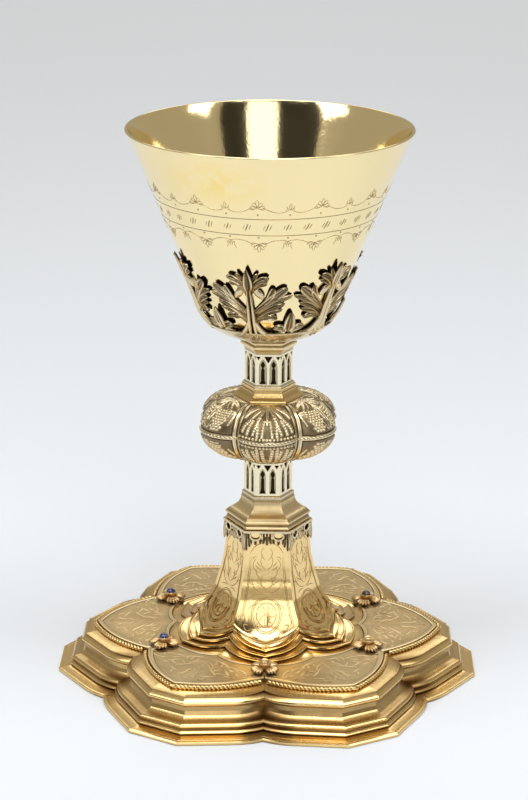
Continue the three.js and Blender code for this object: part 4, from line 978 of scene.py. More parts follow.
def fan_lobe(x, y, high):
    """Ears and leaves on a lobe: leaf ribs bend from the pole's middle to both sides, and between
    them rows of grains sweep down to the corners, over one row of beads along the wire."""
    leaf = ribs(x, y, (((0.5, 0.6), (4.6, 0.16 * high), (8.4, 0.5 * high), 2.0),
                       ((0.4, 1.2), (3.0, 0.26 * high), (6.4, 0.56 * high), 1.6),
                       ((0.3, 2.0), (1.6, 0.3 * high), (3.6, 0.52 * high), 1.5),
                       ((0.0, 1.0), (0.0, 0.3 * high), (0.0, 0.6 * high), 1.5),
                       ((5.6, 0.9), (8.0, 0.12 * high), (9.0, 0.3 * high), 1.2)))
    ears = []
    for start, bend, end in (((0.9, 0.5 * high), (1.6, 0.72 * high), (2.0, 0.9 * high)),
                             ((2.2, 0.42 * high), (4.4, 0.66 * high), (5.4, 0.88 * high)),
                             ((3.2, 0.5 * high), (3.5, 0.72 * high), (3.7, 0.9 * high)),
                             ((6.2, 0.56 * high), (8.4, 0.66 * high), (9.4, 0.84 * high)),
                             ((4.8, 0.5 * high), (7.0, 0.7 * high), (7.6, 0.88 * high))):
        ears.append(along(bow(start, bend, end, 20)[0], 1.25))
    grains = beads(np.abs(x), y, np.concatenate(ears), 0.72)
    base = np.stack((np.arange(0.0, 10.5, 1.3), np.full(9, 0.95 * high)), 1)
    return np.maximum(np.maximum(0.85 * leaf, grains), 0.9 * beads(np.abs(x), y, base, 0.6))


class CHALICE_OT_knop(Maker, bpy.types.Operator):
    """Raises the knop's six lobes with ears and vines in relief, and twists the wire round it."""
    bl_idname = "chalice.knop"
    bl_label = "Knop"

    def make(self, context):
        across, rows, span = 100, 78, KNOP_SPAN
        s = np.linspace(-1, 1, across, endpoint=False)
        angle = np.concatenate((np.linspace(-90, 0, rows, endpoint=False),
                                np.linspace(0, 90, rows + 1)))
        angle = np.radians(angle)[:, None]
        above = angle >= 0
        pole = np.where(above, POLE_UP, POLE_DOWN)
        high = np.where(above, KNOP_UP, KNOP_DOWN)
        r = pole + (knop_outline(s) - pole) * np.cos(angle)
        z = KNOP_Z + high * np.sin(angle)
        y = np.broadcast_to(span * (1 - np.abs(angle) / (math.pi / 2)), r.shape)
        x = s * r * HALF * 0.93
        border = r * HALF * (1 - np.abs(s))
        # A sunk field inside a plain border, with a groove round it and a finer one outside that
        field = ramp(border, 1.5, 1.75) * ramp(span - y, 0.9, 1.2) * ramp(y, 0.3, 0.7)
        groove = bump((border - 1.6) / 0.28) * (y > 0.6) * (y < span - 1.1)
        groove = np.maximum(groove, bump((span - y - 1.0) / 0.3) * (border > 1.5))
        second = bump((border - 0.75) / 0.2) * (y > 0.6)
        valley = ramp(0.55 - border, 0, 0.5)
        lobes, shades = [], []
        for k in range(LOBES):
            motif = grape_lobe if k % 3 else fan_lobe
            figure = motif(x, y, span - 0.8) * field
            rise = FIGURE_HIGH * figure - FIELD_DEEP * field - 0.2 * groove - 0.07 * second
            lobes.append(polar(r + rise * np.maximum(0.35, np.cos(angle)), (k + s / 2) * SECTOR,
                               z + rise * np.sin(angle) * 0.8))
            ground = 0.7 * field * np.clip(1 - 1.5 * figure, 0, 1)
            shades.append(np.clip(ground + 0.9 * groove * (1 - figure) + 0.4 * second + valley, 0,
                                  1))
        parts = [ring_body(np.concatenate(lobes, 1), np.concatenate(shades, 1))]
        make_piece("lobed_knop", parts, finish("cast"), "knop", sharp=60)

        share = np.linspace(-1, 1, 150, endpoint=False)
        azimuth = (np.arange(LOBES)[:, None] + share / 2).ravel() * SECTOR
        path = polar(np.tile(knop_outline(share), LOBES) + 0.05, azimuth, KNOP_Z + 0 * azimuth)
        parts = [rope(path, polar(1.0, azimuth, 0 * azimuth), 0.55, 54, returns=True)]
        make_piece("knop_rope", parts, finish("stem"), "knop_wire", sharp=80)


# Trumpet

def trumpet_corner(z):
    """Corner radius of the trumpet by height, through the measured stations."""
    return np.interp(z, [24.3, 27.6, 30, 34, 39.4, 42, 48, 51, 54, 62.5],
                     [26.0, 24.9, 23.2, 21.0, 19.5, 18.6, 17.4, 17.0, 16.8, 16.2])


def trumpet_middle(z):
    """Distance of a face's middle from the axis by height: a flat face that flares to a shield."""
    return np.interp(z, [19.1, 20.2, 21.5, 23, 25, 27.6, 30, 34, 39.4, 42, 48, 51, 54, 62.5],
                     [31.0, 29.4, 27.9, 26.3, 24.3, 22.2, 20.4, 18.3, 16.95, 16.15, 15.1, 14.75,
                      14.55, 14.0])


# Each step's edge as radius and height at a corner and at a face's middle, from the top down
STEP_EDGES = (((26.0, 24.3), (31.0, 19.1)), ((28.4, 21.9), (34.2, 18.2)),
              ((32.0, 19.6), (38.2, 17.7)), ((35.9, 17.0), (42.0, 17.0)))
# Section of a step's rolled edge: outwards, up and depth in the shade, from below
STEP_ROLL = ((-0.15, -1.2, 1.0), (0.12, -1.0, 0.6), (0.38, -0.7, 0.1), (0.46, -0.4, 0.0),
             (0.34, -0.1, 0.0),
             (0.05, 0.03, 0.05), (-0.25, -0.02, 0.45), (-0.42, -0.16, 0.8), (-0.6, -0.16, 0.3))
# The hollow tread to the next step's foot: share of the way, sag and depth in the shade
STEP_TREAD = ((0.3, 0.12, 0.1), (0.52, 0.22, 0.05), (0.72, 0.26, 0.25), (0.86, 0.2, 0.7),
              (0.95, 0.1, 1.0))


SHIELD_TOP, SHIELD_DROP = 24.35, 5.15   # shield's edge at a corner, and its fall to the point
# Heights of the rings on a face, as shares of the way from the shield's edge to the cornice
FACE_LEVELS = np.concatenate(([0, 0.008, 0.018, 0.026, 0.031, 0.036, 0.041, 0.047, 0.056],
                              np.linspace(0.075, 1, 44)))
TRUMPET_HOLE = ((13.0, 57.9), (14.6, 40.0), (20.0, 27.0), (30.0, FOOT_TOP))     # radius, height


class CHALICE_OT_trumpet(Maker, bpy.types.Operator):
    """Raises the six-faced trumpet with its stepped shield-shaped base and engraves its faces."""
    bl_idname = "chalice.trumpet"
    bl_label = "Trumpet"

    def make(self, context):
        across = np.linspace(-1, 1, 68, endpoint=False)      # -1 at a corner, 0 in a face's middle
        u = np.abs(across)
        share = shield(1 - u)
        azimuth = (np.arange(LOBES)[:, None] * SECTOR + across * HALF).ravel()
        # Painted shade at the corners, where the steps and the shield's edge kink
        notch = np.tile(0.3 * ramp(u, 0.88, 1.0), LOBES)
        rings, shades = [], []

        def put(corner, middle, shade):
            r = corner[0] + (middle[0] - corner[0]) * share
            z = corner[1] + (middle[1] - corner[1]) * share
            rings.append(polar(np.tile(r, LOBES), azimuth, np.tile(z, LOBES)))
            shades.append(np.clip(shade + notch, 0, 1))

        low_corner, low_middle = STEP_EDGES[-1]
        put(TRUMPET_HOLE[-1], TRUMPET_HOLE[-1], 0.5)
        put((low_corner[0] - 0.15, FOOT_TOP), (low_middle[0] - 0.15, FOOT_TOP), 0.9)
        for n in (3, 2, 1, 0):
            corner, middle = np.array(STEP_EDGES[n])
            for out, up, shade in STEP_ROLL[:-4] if n == 0 else STEP_ROLL:
                bulge = (0.6 if n == 3 else 1.0) * out, up
                put(corner + bulge, middle + bulge, shade)
            if n:
                first, last = np.array([STEP_ROLL[-1][:2], STEP_ROLL[0][:2]])
                up_corner, up_middle = np.array(STEP_EDGES[n - 1])
                for way, sag, shade in STEP_TREAD:
                    drop = np.array([0, sag])
                    put((1 - way) * (corner + first) + way * (up_corner + last) - drop,
                        (1 - way) * (middle + first) + way * (up_middle + last) - drop, shade)
        # Faces, from the shield's edge with a second fine ridge over it up to the cornice: swung
        # like the edge low down and flat, a chord between corners, high up
        for v in FACE_LEVELS:
            z = (SHIELD_TOP - SHIELD_DROP * share) * (1 - v) + TRUMPET_TOP * v
            c, m = trumpet_corner(z), trumpet_middle(z)
            flat = ramp(z, 21.0, 33.0)
            r = c * COS_HALF / np.cos(u * HALF) * flat + (c + (m - c) * share) * (1 - flat)
            ridge = bump((v - 0.036) / 0.01)
            sunk = bump((v - 0.022) / 0.018)
            rings.append(polar(np.tile(r + 0.32 * ridge - 0.22 * sunk, LOBES), azimuth,
                               np.tile(z, LOBES)))
            shadow = 0.7 * sunk * (1 - ridge) + 0.5 * bump((v - 0.052) / 0.01)
            shades.append(np.full(len(azimuth), min(float(shadow), 1.0)))
        hole = [polar(np.full(len(azimuth), r), azimuth, z) for r, z in TRUMPET_HOLE]
        shades += [np.full(len(azimuth), 0.6)] * len(hole)
        parts = [bodies(np.array(rings + hole), np.array(shades)[None], returns=True)]
        parts += self.engraving(context.scene.chalice_sizes.graver / MM)
        make_piece("faced_trumpet", parts, finish("foot"), "trumpet", sharp=28)

    def engraving(self, graver):
        """Border lines, a round medallion in the shield and leaf scrolls over it, on each face."""
        def distance(y):
            return np.where(y > 30, trumpet_corner(y) * COS_HALF, trumpet_middle(y)) + 0.02

        def edge(y):
            return np.interp(y, [24, 30, 34, 42, 48, 54, 58],
                             [13.2, 10.9, 9.9, 8.7, 8.1, 7.9, 7.6]) - 1.3

        low, high, steps = 24.6, 52.5, 26       # heights between which the border is straight
        levels = np.linspace(low, high, steps)
        border = np.stack((edge(levels), levels), 1)[None]
        inner = np.stack((edge(levels) - 0.55, levels), 1)[None]
        head = bow((edge(high), high), (4.8, 57.6), (0.0, 57.2), steps)
        foot = bow((edge(low), low), (6.6, 21.6), (0.6, 20.6), steps)
        scrolls = bow([(0, 37.2), (0, 38.6), (0.3, 42), (3.4, 45.2), (0.2, 46), (0.4, 50),
                       (4.6, 40.5), (1.2, 36.6)],
                      [(6.2, 37.6), (3.8, 41), (5.8, 44), (7.0, 48), (3.8, 49), (3.6, 53),
                       (8.4, 40.5), (3.2, 37.4)],
                      [(5.8, 43.6), (1.2, 44.0), (3.4, 47.6), (4.0, 51.0), (1.4, 52.6),
                       (1.0, 55.4), (7.2, 46.0), (5.8, 36.0)], steps)
        veins = bow([(1.4, 40), (1.6, 41.5), (2.0, 46), (2.2, 47.5), (3.6, 51.4), (0.8, 33.0)],
                    [(3.0, 40.6), (3.0, 42), (3.4, 46.8), (3.4, 48.6), (5.2, 52.0), (5.4, 34.0)],
                    [(4.6, 42.2), (3.8, 43.4), (4.4, 48.2), (4.0, 49.6), (5.6, 50.2),
                     (7.6, 30.6)], steps)
        below = bow([(7.0, 26.0), (6.4, 24.6), (8.6, 30.0), (3.0, 22.4)],
                    [(9.8, 27.4), (8.8, 24.0), (10.4, 28.0), (6.0, 22.6)],
                    [(8.4, 24.6), (8.8, 26.6), (9.6, 25.6), (5.4, 24.2)], steps)
        lines = mirrored(np.concatenate((border, inner, head, foot, scrolls, veins, below)))
        middle, petal_count = np.array([0, 29.6]), 8    # the medallion's
        rings = np.concatenate([rings_of([middle], (r, r * 1.02), 40) for r in (5.9, 5.3, 3.9)])
        turn = np.arange(petal_count) * math.tau / petal_count
        petal = lambda r, swing: middle + r * np.stack((np.cos(turn + swing),
                                                        np.sin(turn + swing)), 1)
        petals = bow(middle + np.zeros((petal_count, 2)), petal(3.2, 0.3), petal(3.6, 0.8), 12)
        made = []
        for curves, returns, width in ((lines, False, 0.8), (rings, True, 0.9),
                                       (petals, False, 0.7)):
            azimuth, curves = each(LOBES, curves)
            made.append(graver_cuts(on_face(azimuth, distance), curves, graver * width,
                                    returns=returns))
        return made


# Foot

TIP_R, TIP_HALF = 83.4, 10.8                    # a lobe's tip edge: how far out, half its length
SHOULDER_R, SHOULDER_OUT, SHOULDER_ASIDE = 30.5, 45.8, 13.6     # round shoulder and its middle
FOOT_HOLE_R = 31.1
FOOT_INSIDE = ((15.2, 14.0), (10.9, 13.6), (10.9, 9.0), (8.6, 4.3), (7.0, 0))   # inset, height
NOTCH_SHADE = rad(13)                           # how far the patina reaches from a notch


def foot_outline(inset, straight=10, curved=16, tip=5):
    """Half outlines of the lobes for each inset (insets, points): a short tip edge, a straight
    side and a round shoulder to the notch, all moved inwards by the inset. Corners are mitred."""
    d = np.asarray(inset, float)[:, None]
    centre = np.array([SHOULDER_OUT * math.cos(HALF) + SHOULDER_ASIDE * math.sin(HALF),
                       SHOULDER_OUT * math.sin(HALF) - SHOULDER_ASIDE * math.cos(HALF)])
    away = np.array([TIP_R, TIP_HALF]) - centre
    turn = math.atan2(away[1], away[0]) + math.acos(SHOULDER_R / math.hypot(*away))
    corner_u, corner_v = TIP_R - d, TIP_HALF - d * math.tan(turn / 2)
    r = SHOULDER_R - d
    notch = SHOULDER_OUT + np.sqrt(r ** 2 - SHOULDER_ASIDE ** 2)
    end = np.arctan2(notch * math.sin(HALF) - centre[1], notch * math.cos(HALF) - centre[0])
    angle = turn + (end - turn) * np.linspace(0, 1, curved)
    arc_u, arc_v = centre[0] + r * np.cos(angle), centre[1] + r * np.sin(angle)
    edge = np.concatenate((np.linspace(0, 0.97, tip), [1.0]))
    tip_u, tip_v = corner_u + 0 * edge, corner_v * edge
    side = np.concatenate(([0.015], np.linspace(0.06, 1, straight)))[:-1]
    side_u = corner_u + (arc_u[:, :1] - corner_u) * side
    side_v = corner_v + (arc_v[:, :1] - corner_v) * side
    u = np.concatenate((tip_u, side_u, arc_u), 1)
    v = np.concatenate((tip_v, side_v, arc_v), 1)
    return u, v


def foot_rings(profile):
    """Rings of the foot: the profile gives inset and height, and each lobe's outline is its half
    outline and the mirror image of that."""
    profile = np.asarray(profile, float)
    u, v = foot_outline(profile[:, 0])
    u = np.concatenate((u[:, :0:-1], u[:, :-1]), 1)
    v = np.concatenate((-v[:, :0:-1], v[:, :-1]), 1)
    r, turn = np.hypot(u, v), np.arctan2(v, u)
    azimuth = np.concatenate([turn + HALF + k * SECTOR for k in range(LOBES)], 1)
    return polar(np.tile(r, (1, LOBES)), azimuth, profile[:, 1:])


def foot_profile():
    """Outer profile as inset and height, through the stations measured at a lobe's tip: flange
    with a fine line, two small rolls, a big hollow, a roll, a fillet and a sloping shelf."""
    swell = 1 - np.sin(np.linspace(0, math.pi, 9))
    lower = np.stack((4.5 + 0.9 * swell, np.linspace(2.0, 3.5, 9)), 1)
    upper = np.stack((5.35 + 0.8 * swell, np.linspace(4.1, 5.9, 9)), 1)
    hollow = bow((6.9, 6.1), (10.9, 6.6), (11.3, 10.3), 14)[0]
    swell = 1 - np.sin(np.linspace(0, math.pi, 13))
    roll = np.stack((9.2 + 1.95 * swell, np.linspace(10.6, 14.3, 13)), 1)
    return np.concatenate(([(0, 0), (0, 0.95), (0.25, 1.25), (0.8, 1.36), (1.3, 1.38),
                            (1.4, 1.26), (1.6, 1.26),
                            (1.7, 1.4), (3.6, 1.5), (4.2, 1.6), (4.8, 1.85)],
                           lower, [(5.9, 3.65), (5.95, 3.95)], upper, [(6.5, 6.0)], hollow, roll,
                           [(11.15, 14.45), (11.2, 14.7), (11.0, 14.8), (11.05, 15.0),
                            (11.4, 15.1), (11.6, 15.0), (13.6, FOOT_TOP)]))


# Height on the foot's mouldings, and depth in the shade there
FOOT_DARK = ([0, 0.3, 1.0, 1.6, 2.0, 2.5, 3.3, 3.8, 4.2, 5.0, 5.8, 6.2, 8.0, 10.2, 10.7, 11.5,
              13.5, 14.5, 15.0, 15.6],
             [0.5, 0.15, 0.0, 0.25, 0.9, 0.1, 0.35, 1.0, 0.4, 0.0, 0.4, 0.55, 0.3, 0.75, 0.9, 0.2,
              0.1, 0.75, 0.35, 0.3])


class CHALICE_OT_foot(Maker, bpy.types.Operator):
    """Raises the six-lobed foot from its flange over the mouldings to the top plane."""
    bl_idname = "chalice.foot"
    bl_label = "Foot"

    def make(self, context):
        profile = foot_profile()
        outer = foot_rings(profile)
        inside = foot_rings(FOOT_INSIDE)
        dark = np.interp(profile[:, 1], *FOOT_DARK)
        azimuth = np.arctan2(outer[-1, :, 0], -outer[-1, :, 1])
        from_notch = np.abs((azimuth + HALF) % SECTOR - HALF)
        shade = np.clip(dark[:, None] + 0.35 * bump(from_notch / NOTCH_SHADE), 0, 1)
        hole = [polar(np.full(outer.shape[1], FOOT_HOLE_R), azimuth, z) for z in (FOOT_TOP, 14.0)]
        last = np.full((7, outer.shape[1]), 0.6)
        parts = [bodies(np.concatenate((outer, hole, inside)),
                        np.concatenate((shade, last))[None], returns=True)]
        make_piece("moulded_foot", parts, finish("foot"), "foot", sharp=26)


# Plates with their twisted wires

STEP_GAP = 0.35         # between a plate and the trumpet's lowest step
PLATE_RINGS = ((6.6, 61.0), (16.8, 53.8), (21.6, 44.6), (5.8, 44.6), (12.2, 44.0))
PLATE_NAMES = ("right_front", "right", "right_back", "left_back", "left", "left_front")
PLATE_TIP, PLATE_SIDE = 68.3, 53.5      # how far out a plate's tip and its two corners lie
PLATE_SAG, PLATE_TOP = 3.3, 17.4        # how far its outer edges bow, and its height


def plate_edge(share, out=0.0):
    """A plate's outer edge (x across the lobe, y outwards) from its tip to the notch: the chord
    bowed out by 4 sag s (1 - s), and moved outwards."""
    tip = np.array([0.0, PLATE_TIP])
    end = np.array([PLATE_SIDE * math.sin(HALF) - 0.15, PLATE_SIDE * math.cos(HALF)])
    chord = end - tip
    normal = np.array([-chord[1], chord[0]]) / np.linalg.norm(chord)
    share = np.asarray(share, float)[:, None]
    return tip + chord * share + normal * (4 * PLATE_SAG * share * (1 - share) + out)


def plate_inner_edge(t):
    """A plate's edge along the trumpet's lowest step: t = 0 on the lobe's axis, 1 at a notch."""
    (corner, _), (middle, _) = STEP_EDGES[-1]
    r = corner + (middle - corner) * shield(t) + STEP_GAP
    return np.stack((r * np.sin(t * HALF * 0.985), r * np.cos(t * HALF * 0.985)), 1)


def plate_outline():
    """Closed outline of a plate: two bowed outer edges and the edge along the trumpet's step."""
    right = np.concatenate((plate_edge(np.linspace(0, 1, 24)),
                            plate_inner_edge(np.linspace(1, 0, 24))))
    return np.concatenate((right, right[::-1][1:-1] * [-1, 1]))


def plate_strokes():
    """The plate's own leaf ornament on both sides of its lobe's axis: a tall middle leaf, scrolls
    that turn out from its foot with leaves on them, and a few loose leaves further out."""
    scrolls = bow([(0, 43), (0.4, 45), (0.5, 46), (0, 52), (9.0, 46), (13.5, 45.5), (0.4, 56),
                   (4.4, 58)],
                  [(9, 41.5), (6, 47), (9.5, 55), (4.6, 57), (13.4, 43), (18.4, 44.5), (4.6, 61),
                   (8.6, 57)],
                  [(11, 47.6), (5.2, 51.4), (9.8, 53.4), (0, 63.6), (15.4, 47.4), (20.4, 49.6),
                   (3.0, 60.2), (10.6, 55.0)], 16)
    leaves = bow([(3.4, 43.4), (6.2, 43.2), (8.6, 43.8), (10.8, 46.2), (9.6, 48), (6.4, 51),
                  (8.4, 52.6), (1, 54), (1.8, 57)],
                 [(4.6, 45.6), (7.0, 45.4), (9.2, 45.4), (12.6, 48.2), (12.4, 50.4), (8.4, 49.6),
                  (11.4, 52.2), (2.6, 54.6), (2.8, 58)],
                 [(3.8, 47.4), (6.8, 47.0), (8.2, 47.0), (14.6, 48.0), (14.6, 52.4), (9.4, 47.4),
                  (13.8, 50.2), (2.6, 56.6), (2.2, 60)], 16)
    outer = bow([(15.2, 49), (17.2, 47), (12.4, 52.6), (19.0, 50.2), (7.0, 56.8), (22.2, 47.2)],
                [(17.4, 50.8), (19.0, 47.8), (14.6, 54.0), (21.0, 50.4), (8.4, 60), (23.6, 46.0)],
                [(18.6, 49.6), (19.6, 46.4), (15.8, 52.0), (22.8, 48.4), (5.6, 60.6),
                 (24.2, 46.6)], 16)
    return mirrored(np.concatenate((scrolls, leaves, outer)))


PLATE_MIDDLE = np.array([0.0, 51.0])
# Section of a plate from its underside over edge, border and groove to the sunk field: share of
# the outline about the plate's middle, height and depth in the shade
PLATE_SECTION = ((1.0, FOOT_TOP, 0.8), (1.0, 17.2, 0.7), (0.995, 17.36, 0.15),
                 (0.988, 17.42, 0.0), (0.957, 17.42, 0.0),
                 (0.953, 17.36, 0.7), (0.949, 17.36, 0.7), (0.945, 17.42, 0.0), (0.9, 17.42, 0.0),
                 (0.893, 17.36, 0.6),
                 (0.885, 17.2, 1.0), (0.872, 17.2, 0.55), (0.7, 17.2, 0.42), (0.4, 17.2, 0.42))
FIELD_Z, FIELD_SHARE = 17.2, 0.87


class CHALICE_OT_plates(Maker, bpy.types.Operator):
    """Lays six engraved plates on the foot's lobes, each with a twisted wire round its edge."""
    bl_idname = "chalice.plates"
    bl_label = "Plates and wires"

    def make(self, context):
        graver = context.scene.chalice_sizes.graver / MM
        wire = context.scene.chalice_sizes.wire / MM
        outline = plate_outline()
        leaves = plate_strokes()
        into_field = lambda points: PLATE_MIDDLE + (points - PLATE_MIDDLE) * FIELD_SHARE
        s = np.linspace(0.015, 0.97, 44)
        hatching = mirrored(bow(into_field(plate_inner_edge(s)),
                                into_field((plate_inner_edge(s) + plate_edge(s ** 0.9)) / 2)
                                + [0.7, 0], into_field(plate_edge(s ** 0.9)), 10))
        dots = mirrored(rings_of(PLATE_RINGS, 0.55, 10))
        for number, place in enumerate(PLATE_NAMES):
            azimuth = HALF + number * SECTOR
            surface, field = on_table(azimuth, 0.0), on_table(azimuth, FIELD_Z)
            grid = np.array([surface(*(PLATE_MIDDLE + (outline - PLATE_MIDDLE) * share).T,
                                     np.full(len(outline), z))
                             for share, z, _ in PLATE_SECTION])
            dark = np.array([shade for *_, shade in PLATE_SECTION])[:, None]
            parts = [ring_body(grid, dark),
                     graver_cuts(field, hatching, graver * 0.7, edge=0.03, dark=0.8),
                     cast_lobes(field, leaves, 0.8, 0.16, base=0.02, peak=0.5, start=0.3, tip=0.5,
                                plain=True),
                     graver_cuts(on_table(azimuth, FIELD_Z + 0.12), leaves, graver * 0.6),
                     graver_cuts(field, dots, graver, returns=True)]
            make_piece(f"engraved_plate_{place}", parts, finish("plate"), f"plate_{place}",
                       sharp=30)

            half = plate_edge(np.linspace(0, 0.965, 120), wire + 0.2)
            line = np.concatenate((half[::-1] * [-1, 1], half[1:]))
            level = np.full(len(line), FOOT_TOP + wire)
            path = surface(*line.T, level)
            out = path - surface(*np.broadcast_to(PLATE_MIDDLE, line.shape).T, level)
            out /= np.linalg.norm(out, axis=1, keepdims=True)
            make_piece(f"rope_{place}", [rope(path, out, wire, 21)], finish("foot"),
                       f"plate_wire_{place}", sharp=80)


# Flowers and stones

FLOWER_R = 46.4                                 # a flower's middle from the axis
FLOWER_EYE, FLOWER_REACH = 1.3, 6.3             # where its leaves start and end
FLOWER_LEAVES, FLOWER_RIBS = (45, 135, 225, 315), (-26, -13, 0, 13, 26)     # degrees
STONE_R, STONE_Z, STONE_HIGH = 1.95, 20.5, 1.75
NOTCHES = (("front", "clear"), ("front_right", "clear"), ("back_right", "dark"),
           ("back", "dark"), ("back_left", "blue"), ("front_left", "blue"))


class CHALICE_OT_flowers(Maker, bpy.types.Operator):
    """Sets a flower of four ribbed leaves with a collet and a domed stone over each notch."""
    bl_idname = "chalice.flowers"
    bl_label = "Flowers and stones"

    def make(self, context):
        for number, (place, stone) in enumerate(NOTCHES):
            azimuth = number * SECTOR
            clump, rib = np.meshgrid(np.radians(FLOWER_LEAVES), np.radians(FLOWER_RIBS))
            turn, reach = (clump + rib).ravel(), (FLOWER_REACH - 1.3 * np.abs(rib)).ravel()
            way = np.stack((np.sin(turn), np.cos(turn)), 1)
            start = way * FLOWER_EYE + [0, FLOWER_R]
            end = way * reach[:, None] + [0, FLOWER_R]
            spines = bow(start, (start + end) / 2, end, 14)

            def ground(x, y, lift):
                far = np.hypot(x, y - FLOWER_R)
                dome = 1.3 * np.sqrt(np.clip(1 - ((far - 3.6) / 3.1) ** 2, 0, 1))
                return on_table(azimuth, PLATE_TOP - 0.1)(x, y, lift + dome)

            parts = [cast_lobes(ground, spines, 1.4, 1.0, peak=0.66, start=0.5, tip=0.5,
                                plain=True)]
            collet = eased((1.7, 17.4), (1.75, 18.2), (1.9, 19.0), (2.15, 19.8), (2.4, 20.2),
                           (2.45, 20.7), (2.2, 20.9), (1.8, 20.5), rounding=0.1)
            ring = turned_ring(collet, 32) + polar(FLOWER_R, azimuth, 0.0)
            dark = np.interp(collet[:, 1], [17.4, 18.9, 19.7, 20.3], [0.9, 0.6, 0.35, 0.05])
            parts.append(ring_body(ring, dark[:, None]))
            make_piece(f"leaf_flower_{place}", parts, finish("copper"), f"flower_{place}",
                       sharp=55)

            rise = np.linspace(0.1, math.pi / 2, 12)
            round_top = np.stack((STONE_R * np.cos(rise), STONE_Z + STONE_HIGH * np.sin(rise)), 1)
            dome = np.concatenate(([(0, 20.2), (1.86, 20.2), (STONE_R, 20.45)], round_top))
            points = turned_ring(dome, 40) + polar(FLOWER_R, azimuth, 0.0)
            make_piece(f"cabochon_{place}", [bodies(points)], finish(stone), f"stone_{place}",
                       sharp=50)


# Stage

PHOTO_W, PHOTO_H, FOCAL_PX = 528, 800, 2446.4
CAMERA_AT, PITCH, YAW, ROLL = (16.83, -909.84, 407.3), rad(18.0), rad(-1.17), rad(0.29)


# Upright dark boards in metres: name, middle and half edge along the ground
FLAGS = (("flag_left", (-0.5, -0.97, 1.0), (-0.36, 0.2, 0)),
         ("flag_right", (0.74, -1.0, 1.0), (0.2, 0.22, 0)))
FLAG_UP = (0, 0, 0.8)
# Soft boxes in metres and watts: name, place, what it looks at, width and height, power
LIGHTS = (("over", (0.0, -0.3, 1.25), (0, -0.12, 0.0), (0.95, 0.7), 8),
          ("front", (0.34, -1.88, 1.2), (0, -0.15, 0.0), (1.25, 1.8), 11),
          ("left", (-1.2, -0.6, 1.6), (0, 0, 0.1), (0.7, 1.0), 7),
          ("behind", (0.0, 2.4, 2.2), (0, 1.9, 0), (3.0, 1.2), 21),
          ("right", (1.25, -0.4, 1.6), (0, 0, 0.1), (0.6, 1.0), 5))
WORLD, WORLD_STRENGTH = (0.86, 0.79, 0.66, 1), 0.46


def area_light(name, at, aim, size, power):
    """A soft box at a place, turned to look at another."""
    data = bpy.data.lights.new(name, "AREA")
    data.shape, data.energy = "RECTANGLE", power
    data.size, data.size_y = size
    lamp = bpy.data.objects.new(name, data)
    bpy.context.scene.collection.objects.link(lamp)
    way = np.array(at, float) - np.array(aim, float)
    way /= np.linalg.norm(way)
    side = np.cross((0.0, 0.0, 1.0) if abs(way[2]) < 0.99 else (0.0, 1.0, 0.0), way)
    side /= np.linalg.norm(side)
    over = np.cross(way, side)
    lamp.matrix_world = Matrix([[side[k], over[k], way[k], at[k]] for k in range(3)]
                               + [[0, 0, 0, 1]])
    return lamp


def board(name, at, side, over, material):
    """A flat board of the stage: a rectangle about a point, spanned by two half edges."""
    at, side, over = (np.array(v, float) for v in (at, side, over))
    mesh = bpy.data.meshes.new(name)
    corners = [tuple(at + a * side + b * over) for a, b in ((-1, -1), (1, -1), (1, 1), (-1, 1))]
    mesh.from_pydata(corners, [], [(0, 1, 2, 3)])
    mesh.materials.append(material)
    made = bpy.data.objects.new(name, mesh)
    bpy.context.scene.collection.objects.link(made)
    return made


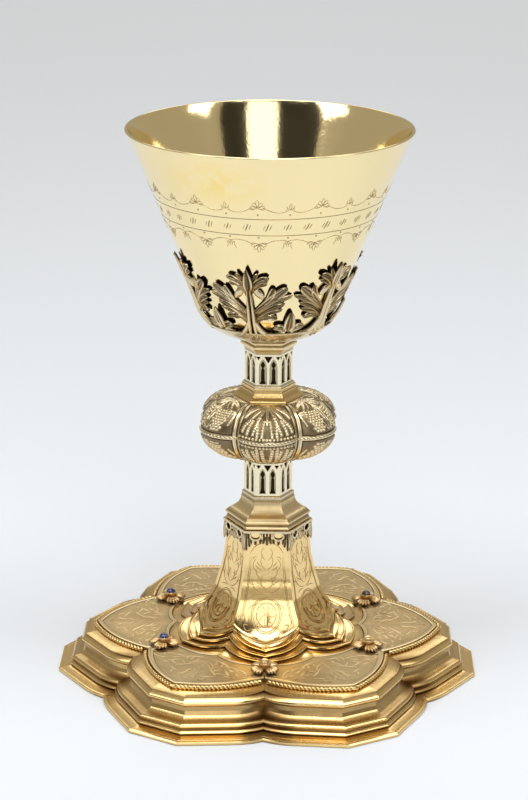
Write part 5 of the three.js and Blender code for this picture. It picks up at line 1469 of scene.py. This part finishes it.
class CHALICE_OT_stage(Maker, bpy.types.Operator):
    """Sets the pale floor, the soft boxes, two dark flags and the camera."""
    bl_idname = "chalice.stage"
    bl_label = "Stage"

    def make(self, context):
        scene = context.scene
        floor = shade("pale_floor", Base_Color=(0.81, 0.86, 0.94, 1), Roughness=0.85)[0]
        board("floor", (0, 1.0, -0.0002), (6, 0, 0), (0, 6, 0), floor)
        black = shade("black_cloth", Base_Color=(0.02, 0.018, 0.015, 1), Roughness=0.9)[0]
        for name, at, side in FLAGS:
            board(name, at, side, FLAG_UP, black).visible_camera = False
        scene.view_settings.view_transform = "Standard"
        world = bpy.data.worlds.new("studio")
        world.use_nodes = True
        world.node_tree.nodes["Background"].inputs[0].default_value = WORLD
        world.node_tree.nodes["Background"].inputs[1].default_value = WORLD_STRENGTH
        scene.world = world
        for light in LIGHTS:
            area_light(*light)
        sin, cos = math.sin, math.cos
        ahead = np.array([sin(YAW) * cos(PITCH), cos(YAW) * cos(PITCH), -sin(PITCH)])
        right = np.array([cos(YAW), -sin(YAW), 0.0])
        up = np.cross(right, ahead)
        side, over = right * cos(ROLL) + up * sin(ROLL), -right * sin(ROLL) + up * cos(ROLL)
        data = bpy.data.cameras.new("camera")
        data.sensor_width, data.sensor_fit = 36.0, "AUTO"
        data.lens = FOCAL_PX * data.sensor_width / max(PHOTO_W, PHOTO_H)
        data.clip_start, data.clip_end = 0.05, 30.0
        camera = bpy.data.objects.new("camera", data)
        scene.collection.objects.link(camera)
        camera.matrix_world = Matrix([[side[k], over[k], -ahead[k], CAMERA_AT[k] * MM]
                                      for k in range(3)] + [[0, 0, 0, 1]])
        scene.camera = camera


# Panel and main

MAKERS = (CHALICE_OT_foot, CHALICE_OT_trumpet, CHALICE_OT_plates, CHALICE_OT_flowers,
          CHALICE_OT_cornice,
          CHALICE_OT_stem, CHALICE_OT_knop, CHALICE_OT_calyx, CHALICE_OT_bowl, CHALICE_OT_stage)


class CHALICE_PT_panel(bpy.types.Panel):
    """Lists the chalice's sizes, colours and makers."""
    bl_idname = "CHALICE_PT_panel"
    bl_label = "Chalice"
    bl_space_type = "VIEW_3D"
    bl_region_type = "UI"
    bl_category = "Chalice"

    def draw(self, context):
        for group in (context.scene.chalice_sizes, context.scene.chalice_finish):
            for key in type(group).__annotations__:
                self.layout.prop(group, key)
        for maker in MAKERS:
            self.layout.operator(maker.bl_idname)


CLASSES = (ChaliceSizes, ChaliceFinish, *MAKERS, CHALICE_PT_panel)


def register():
    for made in CLASSES:
        bpy.utils.register_class(made)
    bpy.types.Scene.chalice_sizes = PointerProperty(type=ChaliceSizes)
    bpy.types.Scene.chalice_finish = PointerProperty(type=ChaliceFinish)


def unregister():
    del bpy.types.Scene.chalice_finish
    del bpy.types.Scene.chalice_sizes
    for made in reversed(CLASSES):
        bpy.utils.unregister_class(made)


def main():
    register()
    for maker in MAKERS:
        group, name = maker.bl_idname.split(".")
        getattr(getattr(bpy.ops, group), name)()


if __name__ == "__main__":
    main()
